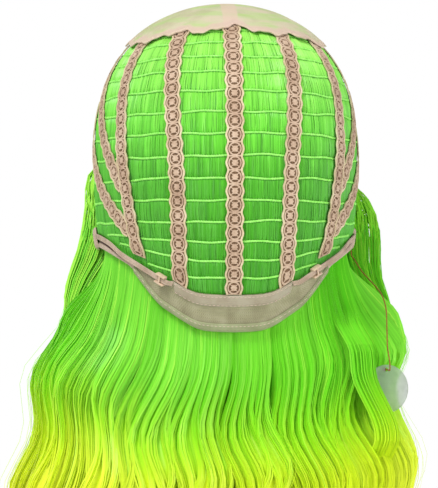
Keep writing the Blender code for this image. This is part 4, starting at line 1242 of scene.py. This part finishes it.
quarter = np.linspace(0, 1, 8, endpoint=False)
edge_loop = [(share, 0.0) for share in quarter] + [(1.0, share) for share in quarter]
edge_loop += [(1 - share, 1.0) for share in quarter] + [(0.0, 1 - share) for share in quarter]
dash_starts = np.stack(tab_corner(*np.array(edge_loop).T, inset=EAR_SEAM_INSET), 1)
dash_ways = np.roll(dash_starts, -1, 0) - dash_starts
dashes = dash_starts[:, None] + dash_ways[:, None] * EAR_DASH_SHARES[:, None]
for side_name, side in SIDES:
    def tab_place(across, along, through):
        edge = np.maximum(np.abs(2 * across - 1), np.abs(2 * along - 1))
        raised = EAR_TAB_THICKNESS * np.sqrt(np.clip(1 - edge ** 5, 0.12, 1))
        return on_tab(side, *tab_corner(across, along), raised * through)

    sewn = stitches(on_tab(side, dashes[..., 0], dashes[..., 1], EAR_SEAM_LIFT + EAR_DASH_LIFTS))
    add_piece(f"ear_pocket_{side_name}", "cap", f"ear_tab_{side_name}", "tape",
              (bent_slab(16, 20, tab_place, (EAR_TAB_WIDTH, EAR_TAB_HEIGHT)), tape_finish),
              (sewn, stitch_finish))

stay_finish = speckled("brushed_stay", 0.4, STAY_COLOURS, 1.0, 2.0, 0.00005, (900.0, 900.0, 30.0),
                       colour=(0.6, 0.6, 0.6), Metallic=1.0)
for side_name, _ in SIDES:
    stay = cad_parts[f"ear_tab_stay_{side_name}"]
    stay.data.materials.clear()
    stay.data.materials.append(stay_finish)


# Elastic adjuster straps: ribbed elastic anchored on the nape band, pulled straight where the slider
# runs and sewn to the ear tab.

ELASTIC_THICKNESS = 0.0009
ELASTIC_TRIM = 0.0003
ELASTIC_RISE = 0.0008
ELASTIC_RIBS = 5
ELASTIC_RISE_ANGLE = radians(12)
ELASTIC_ANCHOR = radians(29.2)
RUN_NAPE_END = radians(31.5)
RUN_EAR_END = radians(52)
ELASTIC_SETTLE = radians(70)
CLIMB_POINTS = 4
DESCENT_POINTS = 13
SLIDER_PLATE = 0.0009
ELASTIC_COLOURS = ((0.38, 0.27, 0.19), (0.55, 0.42, 0.31), (0.66, 0.52, 0.41))


def elastic_level(angle):
    return band_top(angle) - ELASTIC_WIDTH / 2


def elastic_strap(side):
    """Ribbed strap: rises from its anchor, runs straight, then settles on the head."""
    first, last = side * RUN_NAPE_END, side * RUN_EAR_END
    middle = (first + last) / 2
    crest = on_head(middle, elastic_level(middle))
    out = head_normal(*crest)
    chord = (on_head(first, elastic_level(first)) + on_head(last, elastic_level(last))) / 2
    lift = BAND_THICKNESS + SLIDER_PLATE + 3 * CLEARANCE + (crest - chord) @ out
    start, stop = on_head(first, elastic_level(first), lift), on_head(last, elastic_level(last), lift)
    forward = unit(stop - start)
    sideways = unit(np.cross(out, forward))
    out = np.cross(forward, sideways)
    tab_reach = EAR_TAB_WIDTH / 2 + CLEARANCE + 0.2 * ELASTIC_WIDTH
    tab_edge = EAR_TAB_ANGLE - tab_reach / tab_girth
    angle = np.append(np.linspace(ELASTIC_ANCHOR, RUN_NAPE_END, CLIMB_POINTS),
                      np.linspace(RUN_EAR_END, tab_edge, DESCENT_POINTS))
    climb = smooth((angle - ELASTIC_ANCHOR) / (RUN_NAPE_END - ELASTIC_ANCHOR))
    settle = smooth((angle - RUN_EAR_END) / (ELASTIC_SETTLE - RUN_EAR_END))
    rise = np.where(angle < RUN_EAR_END - 1e-6, climb, 1 - settle)
    level = elastic_level(angle) + ELASTIC_RISE * smooth((angle - RUN_EAR_END) / ELASTIC_RISE_ANGLE)
    points = on_head(side * angle, level, mix(TAPE_LAYER, lift, rise))
    normals = head_normal(*on_head(side * angle, elastic_level(angle)).T)
    ahead = np.append(points[1:], points[-1:], 0) - np.append(points[:1], points[:-1], 0)
    widths = unit(np.cross(normals, ahead))
    for index in (CLIMB_POINTS - 1, CLIMB_POINTS):
        normals[index], widths[index] = out, sideways
    walked = walked_along(points)

    def place(across, along, through):
        spot, width, normal = (
            at_length(along * walked[-1], walked, each) for each in (points, widths, normals))
        ribs = 0.86 + 0.14 * np.cos(2 * pi * ELASTIC_RIBS * across)
        round_edge = np.where(np.abs(across - 0.5) > 0.49, 0.6, ribs)
        reach = mix(ELASTIC_TRIM - ELASTIC_WIDTH / 2, ELASTIC_WIDTH / 2, across)
        return spot + width * reach[:, None] + normal * (ELASTIC_THICKNESS * through * round_edge)[:, None]
    return bent_slab(20, 64, place, (ELASTIC_WIDTH, walked[-1]))


elastic_finish = woven("ribbed_elastic", ELASTIC_COLOURS, 0.0009, 0.75, across=True)
for side_name, side in SIDES:
    add_piece(f"elastic_{side_name}", "cap", f"elastic_strap_{side_name}", "elastic",
              (elastic_strap(side), elastic_finish))


# Adjuster sliders: small moulded two-slot sliders in beige plastic, threaded on the elastic, with
# every edge rounded as it leaves the mould.

SLIDER_ROUNDING = 0.0002
SLIDER_FLAT = radians(3)
SLIDER_SHARP = radians(30)
SLIDER_COLOURS = ((0.60, 0.43, 0.30), (0.74, 0.56, 0.40))
slider_finish = speckled("slider_plastic", 0.36, SLIDER_COLOURS, 700.0, 2.0, 0.00003,
                         colour=(0.66, 0.48, 0.33))
for side_name, _ in SIDES:
    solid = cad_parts[f"adjuster_slider_{side_name}"]
    work = bmesh.new()
    work.from_mesh(solid.data)
    bmesh.ops.remove_doubles(work, verts=work.verts, dist=MERGE_DISTANCE)
    bmesh.ops.dissolve_limit(work, angle_limit=SLIDER_FLAT, verts=work.verts, edges=work.edges)
    work.normal_update()
    sharp = [edge for edge in work.edges if edge.is_manifold and edge.calc_face_angle(0) > SLIDER_SHARP]
    bmesh.ops.bevel(work, geom=sharp, offset=SLIDER_ROUNDING, offset_type="OFFSET", segments=2, profile=0.5,
                    affect="EDGES", material=-1, clamp_overlap=True)
    add_piece(f"slider_{side_name}", f"{side_name}_slider", f"adjuster_slider_{side_name}", "slider_plastic",
              (work, slider_finish))


# Hanging hair: long wavy synthetic hair in sixteen locks round the cap, rooted under the rim. Each
# lock is a smooth mass of hair with fine fibres lying over it, green above and fading to yellow.
# The hair rooted at the temples is swept back past the ear tabs.

LOCK_COUNT = 16
LOCK_TURN = 2 * pi / LOCK_COUNT
HAIR_HEIGHTS = (-0.372, 0.075)
HAIR_TIP = -0.355
HAIR_TIP_SPREAD = 0.012
HAIR_ROOT_TUCK = 0.010
HAIR_ROOT_PRESS = 0.35
HAIR_SIDE_REACH = 0.094
HAIR_SIDE_SPREAD = 0.034
HAIR_WAIST = 0.008
HAIR_WAIST_LEVEL = -0.105
HAIR_WAIST_LENGTH = 0.050
RIGHT_FULLNESS = 0.005
RIGHT_FULL_FROM = -0.135
LEFT_CLOSENESS = 0.0055
LEFT_CLOSE_FROM = -0.090
HAIR_SIDE_EASE = 0.03
HAIR_BACK_REACH = 0.074
HAIR_BACK_SPREAD = 0.014
HAIR_FRONT_REACH = 0.086
HAIR_SPREAD_LENGTH = 0.070
HAIR_LEAN = -0.0078
HAIR_SHIFT = 0.0022
HAIR_SWEEP = 0.26
HAIR_SWEEP_LENGTH = 0.10
HAIR_RIM_GAP = 0.002
SIDE_FLARE = 0.039
BACK_FLARE = 0.085
BACK_FLARE_TO = radians(68)
SIDE_FLARE_FROM = radians(104)
LACE_ROOT_ANGLE = radians(12)
RIPPLE_DEPTH = 0.0050
RIPPLE_LENGTH = 0.074
RIPPLE_START = -0.047
RIPPLE_CREST = -0.1135
RIPPLE_SKEW = 0.0105
SWAY_DEPTH = 0.0062
SWAY_LENGTH = 0.084
SWAY_LEVEL = -0.107
SWAY_SKEW = 0.006
SWAY_START = RIPPLE_START - 0.012
SWAY_EASE = 0.06
SWAY_RADIUS = 0.1
BUNDLES = 6
BUNDLE_RIDGE = 0.0019
BUNDLE_CURL = 0.0010
MASS_DEPTH = 0.0038
MASS_ROUNDING = 0.0040
MASS_THICKNESS = 0.0065
MASS_NARROW_FROM = -0.25
MASS_CELLS = (36, 64)
MASS_FLAT_SIZE = (0.040, 0.30)
FIBRES = 300
FIBRE_RINGS = 40
FIBRE_SIDES = 3
FIBRE_RADIUS = 0.00042
FIBRE_SINK = 0.0006
FIBRE_LIFTS = (-0.0010, 0.0016)
FIBRE_WANDER = 0.014
WANDER_FROM = -0.09
WANDER_LENGTH = 0.22
GATHER = 0.66
GATHER_FROM = -0.085
GATHER_LENGTH = 0.13
RIM_SHARE = 0.06
FLARE_SHARE = 0.32
SWEPT_FROM = radians(132)
SWEPT_EASE = radians(6)
SWEPT_TO_LEFT = radians(162)
SWEPT_TO_RIGHT = radians(155)
SWEPT_END = radians(101)
SWEPT_FALL = 0.050
SWEPT_SPREAD = 0.35
SWEPT_LOW = -0.110
SWEPT_LOW_EASE = 0.035
SWEPT_SPARED = -0.9
SWEPT_FINENESS = 0.95
# Tone added to the swept fibres as painted light, which lightens them and mixes them towards the painted
# highlight.
SWEPT_PAINTED_LIGHT = 0.6
SWEPT_DROPS = (-0.012, -0.003, 0.009, 0.022, 0.034, 0.0465, 0.059, 0.071, 0.084, 0.096)
SWEPT_LEFT_EDGE = (0.0830, 0.0880, 0.0882, 0.0880, 0.0905, 0.0925, 0.0978, 0.1010, 0.1025, 0.1060)
SWEPT_RIGHT_EDGE = (0.0780, 0.0840, 0.0930, 0.0982, 0.1003, 0.1008, 0.1000, 0.1025, 0.1080, 0.1150)
SWEPT_WIDTH = (0.006, 0.009, 0.014, 0.018, 0.021, 0.022, 0.019, 0.014, 0.009, 0.006)
STRAYS = 8
STRAY_REACH = 0.009
STRAY_FROM = -0.07
STRAY_EASE = 0.05
STRAY_FINENESS = 0.35
WISPS = 64
WISP_RINGS = 26
WISP_LOCK = 2
WISP_ENDS = (-0.084, -0.190)
WISP_SHOWN = (-0.088, -0.186)
WISP_EASE = 0.022
WISP_STARTS = (-0.031, -0.0125)
WISP_DRIFT = 0.022
WISP_DRIFT_FROM = -0.120
WISP_DRIFT_LENGTH = 0.045
WISP_LAYERS = (0.0004, 0.0040)
WISP_BEHIND = -0.010
TAG_ROOM = 0.0024
TAG_NEAR = 0.042
TAG_NEAR_EASE = 0.012
KNOT_ROOM = 0.0066
KNOT_NEAR = 0.009
KNOT_NEAR_EASE = 0.004
FADE_PLACES = (0.0, 0.25, 0.42, 0.56, 1.0)
FADE_COLOURS = ((0.94, 0.99, 0.045), (0.78, 0.96, 0.034), (0.42, 0.88, 0.027), (0.245, 0.80, 0.035),
                (0.175, 0.70, 0.036))
FADE_HEIGHTS = (-0.24, -0.05)
STREAK_SHADES = ((0.66, 0.76, 0.5), (0.98, 0.98, 0.95), (1.2, 1.1, 1.25))
hair_draw = np.random.default_rng(23)
bundle_phases = hair_draw.normal(0, 0.5, (LOCK_COUNT, BUNDLES))
bundle_rises = hair_draw.normal(0, 0.0011, (LOCK_COUNT, BUNDLES))


def cap_rim(angle):
    """Height of the cap's lower edge all the way round, under the ear tabs too."""
    turn = turn_of(angle)
    past_ear = (turn - SIDE_BAND_END) / (FRONT_ANGLE - SIDE_BAND_END)
    rim = mix(band_bottom(np.minimum(turn, FRONT_ANGLE)), front_rim(angle), smooth(past_ear))
    beside_tab = np.abs(turn - EAR_TAB_ANGLE) * tab_girth - EAR_TAB_WIDTH / 2
    return mix(np.minimum(rim, EAR_TAB_LEVEL - EAR_TAB_HEIGHT / 2), rim, smooth(beside_tab / EAR_TAB_WIDTH))


def flare_length(angle):
    """Length over which the hair spreads out below the rim, longest at the back."""
    forward = (turn_of(angle) - BACK_FLARE_TO) / (SIDE_FLARE_FROM - BACK_FLARE_TO)
    return mix(BACK_FLARE, SIDE_FLARE, smooth(forward))


def hair_surface(root, angle, z, depth):
    """Points in the hair, rooted at one angle and hanging at another, at a depth under its outside."""
    rim = cap_rim(root)
    held = np.maximum(z, rim)
    past_lace = smooth((turn_of(root) - FRONT_ANGLE) / LACE_ROOT_ANGLE)
    past_rows = smooth((band_top(root) - held) / HAIR_ROOT_TUCK)
    tucked = ROW_DEPTH * (1 - np.maximum(past_lace, past_rows)) + 3 * CLEARANCE
    inside = on_head(root, held, -tucked - HAIR_ROOT_PRESS * np.maximum(depth, 0))
    below = np.minimum(0.0, z - TEMPLE_RIM) / HAIR_SPREAD_LENGTH
    waist = HAIR_WAIST * np.exp(-((z - HAIR_WAIST_LEVEL) / HAIR_WAIST_LENGTH) ** 2)
    full_right = np.maximum(np.sin(angle), 0) * smooth((z - RIGHT_FULL_FROM) / HAIR_SIDE_EASE)
    close_left = np.maximum(-np.sin(angle), 0) * smooth((z - LEFT_CLOSE_FROM) / HAIR_SIDE_EASE)
    waist = waist - RIGHT_FULLNESS * full_right + LEFT_CLOSENESS * close_left
    reach = HAIR_SIDE_REACH + HAIR_SIDE_SPREAD * (1 - np.exp(below)) - waist
    below_nape = np.minimum(0.0, z - NAPE_TOP + NAPE_WIDTH) / HAIR_SPREAD_LENGTH
    back = HAIR_BACK_REACH + HAIR_BACK_SPREAD * (1 - np.exp(below_nape))
    deep = np.where(np.cos(angle) > 0, back, HAIR_FRONT_REACH)
    lean = HAIR_LEAN * smooth((TEMPLE_RIM - z) / (2 * HAIR_SPREAD_LENGTH)) + HAIR_SHIFT
    crest = RIPPLE_CREST + RIPPLE_SKEW * np.sin(angle)
    ripple = smooth((RIPPLE_START - z) / RIPPLE_LENGTH) * np.cos(2 * pi * (z - crest) / RIPPLE_LENGTH)
    out_x, out_y = np.sin(angle) / reach, -np.cos(angle) / deep
    size = np.hypot(out_x, out_y)
    offset = RIPPLE_DEPTH * ripple - depth
    outside = np.stack((lean + reach * np.sin(angle) + out_x / size * offset,
                        -deep * np.cos(angle) + out_y / size * offset, z), -1)
    spots = mix(inside, outside, smooth((rim - z - HAIR_RIM_GAP) / flare_length(root))[..., None])
    spots[..., 2] = np.where(z >= rim, inside[..., 2], z)
    return spots


def swayed(angle, z, phase):
    """Angles of hair that's swept back as it hangs and swings from side to side on its way down."""
    angle = angle - HAIR_SWEEP * np.sin(angle) * smooth((TEMPLE_RIM - z) / HAIR_SWEEP_LENGTH)
    wave = smooth((SWAY_START - z) / SWAY_EASE)
    growth = SWAY_DEPTH * (0.75 + 0.5 * smooth((-0.12 - z) / 0.15))
    level = SWAY_LEVEL - SWAY_SKEW * np.sin(angle)
    return angle + wave * growth / SWAY_RADIUS * np.cos(2 * pi * (z - level) / SWAY_LENGTH + phase)


def past_tag(spots):
    """Leads hair past the swing tag, behind it and its knot."""
    away = spots - tag_hole
    out = away @ tag_out
    reach = np.hypot(away @ tag_across, away[..., 2])
    near = smooth((TAG_NEAR - reach) / TAG_NEAR_EASE)
    at_knot = smooth((KNOT_NEAR - reach) / KNOT_NEAR_EASE)
    behind = np.minimum(out, -mix(TAG_ROOM, KNOT_ROOM, at_knot))
    return spots + (near * (behind - out))[..., None] * tag_out


def fibre_levels(angle, tip):
    """Heights down a fibre: tucked under the cap, through the flare, then evenly to its tip."""
    rim = cap_rim(angle)
    root = np.maximum(rim, band_top(angle)) + 0.3 * HAIR_ROOT_TUCK
    flared = np.maximum(rim - HAIR_RIM_GAP - flare_length(angle), 0.6 * rim + 0.4 * tip)
    shares = np.linspace(0, 1, FIBRE_RINGS)
    first = mix(root[:, None], rim[:, None], np.clip(shares / RIM_SHARE, 0, 1))
    second = mix(first, flared[:, None], np.clip((shares - RIM_SHARE) / (FLARE_SHARE - RIM_SHARE), 0, 1))
    return mix(second, tip[:, None], np.clip((shares - FLARE_SHARE) / (1 - FLARE_SHARE), 0, 1))


def by_bundle(values, across):
    """Value of a lock's bundles at places across it, running smoothly from one to the next."""
    return np.interp(across * BUNDLES - 0.5, np.arange(BUNDLES), values)


def mass_depth(lock, across, z, rim):
    """Depth of the lock's own mass, ridged by its bundles and rounded off at its sides."""
    grown = smooth((rim - z) / 0.05)
    phase = by_bundle(bundle_phases[lock], across)
    curl = BUNDLE_CURL * np.sin(2 * pi * (z - SWAY_LEVEL) / SWAY_LENGTH + 2 * phase)
    ridges = BUNDLE_RIDGE * np.cos(2 * pi * BUNDLES * across) + by_bundle(bundle_rises[lock], across) + curl
    return MASS_DEPTH + ridges * grown + MASS_ROUNDING * np.abs(2 * across - 1) ** 5


def lock_fibres(lock):
    """Fibres over one lock, gathered in wavy bundles that draw together towards the tips."""
    own = hair_draw.uniform(-0.01, 1.01, FIBRES)
    bundle = np.clip((own * BUNDLES).astype(int), 0, BUNDLES - 1)
    bundle_tone = hair_draw.uniform(0.22, 0.76, BUNDLES)[bundle]
    bundle_tip = hair_draw.uniform(-0.5, 1.0, BUNDLES)[bundle]
    loose = hair_draw.normal(0, 1, (FIBRES, 4, 1))
    tip = HAIR_TIP + HAIR_TIP_SPREAD * (bundle_tip + 0.5 * hair_draw.uniform(-1, 1, FIBRES))
    tip = np.maximum(tip, HAIR_TIP - HAIR_TIP_SPREAD)
    root = ((lock + own) * LOCK_TURN)[:, None]
    z = fibre_levels(root[:, 0], tip)
    rim = cap_rim(root)
    gather = GATHER * smooth((GATHER_FROM - z) / GATHER_LENGTH)
    across = mix(own[:, None], ((bundle + 0.5) / BUNDLES)[:, None], gather)
    phase = by_bundle(bundle_phases[lock], across) + 0.10 * loose[:, 0]
    angle = swayed((lock + across) * LOCK_TURN, z, phase)
    stray = np.where(np.arange(FIBRES) < STRAYS, 1.0, 0.0)[:, None]
    wander = FIBRE_WANDER * (1 + 3 * stray) * loose[:, 1]
    angle = angle + wander * smooth((WANDER_FROM - z) / WANDER_LENGTH)
    turn = turn_of(root)
    side = np.where(np.sin(root) > 0, 1.0, -1.0)
    last_turn = np.where(side > 0, SWEPT_TO_RIGHT, SWEPT_TO_LEFT)
    swept = smooth((turn - SWEPT_FROM) / SWEPT_EASE) * smooth((last_turn - turn) / SWEPT_EASE)
    swept = swept * (loose[:, 2] > SWEPT_SPARED)
    fallen = swept * smooth((rim - z) / SWEPT_FALL)
    final = SWEPT_END + SWEPT_SPREAD * (turn - SWEPT_FROM)
    angle = angle - side * fallen * (turn - final)
    lift = hair_draw.uniform(*FIBRE_LIFTS, FIBRES)[:, None] - 0.0006 * np.abs(loose[:, 3])
    depth = mass_depth(lock, across, z, rim) - FIBRE_SINK - lift * smooth((rim - z) / 0.02)
    inwards = hair_draw.uniform(0, 1, FIBRES)[:, None]
    stray_lift = stray * hair_draw.uniform(0, STRAY_REACH, FIBRES)[:, None]
    depth = depth - stray_lift * smooth((STRAY_FROM - z) / STRAY_EASE)
    spots = past_tag(hair_surface(root, angle, z, depth))
    left, right, width = (
        np.interp(-z, SWEPT_DROPS, values)
        for values in (SWEPT_LEFT_EDGE, SWEPT_RIGHT_EDGE, SWEPT_WIDTH))
    beside_cap = side * (np.where(side > 0, right, left) - inwards * width)
    spots[..., 0] = mix(spots[..., 0], beside_cap, fallen * smooth((z - SWEPT_LOW) / SWEPT_LOW_EASE))
    taper = np.minimum(1, (1 - np.linspace(0, 1, FIBRE_RINGS)) * 3.2) ** 0.7
    taper[0], taper[-1] = 0.05, 0.02
    radius = FIBRE_RADIUS * hair_draw.uniform(0.6, 1.15, FIBRES)[:, None] * taper
    radius = radius * mix(1.0, SWEPT_FINENESS, swept) * mix(1.0, STRAY_FINENESS, stray)
    # The swept fibres' raised tone is painted light on the strip beside the cap.
    tones = np.clip(bundle_tone + hair_draw.normal(0, 0.20, FIBRES) + SWEPT_PAINTED_LIGHT * swept[:, 0], 0, 1)
    return tinted_tubes(spots, radius, FIBRE_SIDES, tones, HAIR_HEIGHTS)


def lock_mass(lock):
    """Smooth closed mass of a lock under its fibres, drawn out thin to the tip."""
    def place(across, along, through):
        root = (lock + across) * LOCK_TURN
        rim = cap_rim(root)
        z = mix(rim + 0.003, HAIR_TIP + 0.022, 1 - along)
        drawn = mix(across, 0.5, 0.7 * smooth((MASS_NARROW_FROM - z) / 0.08))
        thinned = 1 - 0.9 * smooth((MASS_NARROW_FROM - z) / 0.09)
        thick = MASS_THICKNESS * smooth((1 - along) / 0.10) * thinned
        depth = mass_depth(lock, drawn, z, rim) + (1 - through) * (0.0004 + thick)
        phase = by_bundle(bundle_phases[lock], drawn)
        return past_tag(hair_surface(root, swayed((lock + drawn) * LOCK_TURN, z, phase), z, depth))
    return bent_slab(*MASS_CELLS, place, MASS_FLAT_SIZE, MASS_CHART)


def tag_wisps():
    """Thin fall of hair that lies over the tag's left side and its lower edge."""
    z = np.linspace(*WISP_ENDS, WISP_RINGS)
    start = hair_draw.uniform(*WISP_STARTS, (WISPS, 1))
    drift = WISP_DRIFT * smooth((WISP_DRIFT_FROM - z) / WISP_DRIFT_LENGTH)
    across = start + drift + 0.003 * np.sin((z + 0.15) * 60)
    front = TAG_ROOM + hair_draw.uniform(*WISP_LAYERS, (WISPS, 1))
    shown = smooth((WISP_SHOWN[0] - z) / WISP_EASE) * smooth((z - WISP_SHOWN[1]) / WISP_EASE)
    out = mix(WISP_BEHIND, front, shown)
    spots = tag_hole + across[..., None] * tag_across + out[..., None] * tag_out
    spots[..., 2] = z
    from_end = np.minimum(np.arange(WISP_RINGS), np.arange(WISP_RINGS)[::-1])
    radii = np.tile(0.9 * FIBRE_RADIUS * (np.minimum(1, from_end / 4) + 0.02), (WISPS, 1))
    return tinted_tubes(spots, radii, FIBRE_SIDES, hair_draw.uniform(0.3, 0.9, WISPS), HAIR_HEIGHTS)


# Hanging hair, its palest fibres mixed up to half-way towards the painted highlight.
lock_finish = hair_finish("hanging_hair", FADE_PLACES, FADE_COLOURS, FADE_HEIGHTS, 0.44, (0.70, 0.79, 0.62),
                          0.5, Specular_IOR_Level=0.3)
smooth_hair = Finish("hanging_hair_mass", 0.50, Specular_IOR_Level=0.3)
streaks = smooth_hair.noise(1.0, 3.0, smooth_hair.stretched(smooth_hair.weave(), (520.0, 9.0, 1.0)))
patchy = shifted_share(smooth_hair, smooth_hair.noise(26.0, 1.0), 0.05, FADE_HEIGHTS)
streaked = smooth_hair.ramp(streaks, (0.30, 0.5, 0.7), STREAK_SHADES)
faded = smooth_hair.ramp(patchy, FADE_PLACES, FADE_COLOURS)
mass_finish = smooth_hair.paint(smooth_hair.blend(1.0, faded, streaked, "MULTIPLY"), streaks, 0.0006)
for lock in range(LOCK_COUNT):
    wisps = [(tag_wisps(), lock_finish)] if lock == WISP_LOCK else []
    add_piece(f"hair_{lock + 1:02d}", "cap", f"hair_lock_{lock + 1:02d}", "hanging_hair",
              (lock_fibres(lock), lock_finish), (lock_mass(lock), mass_finish), *wisps)
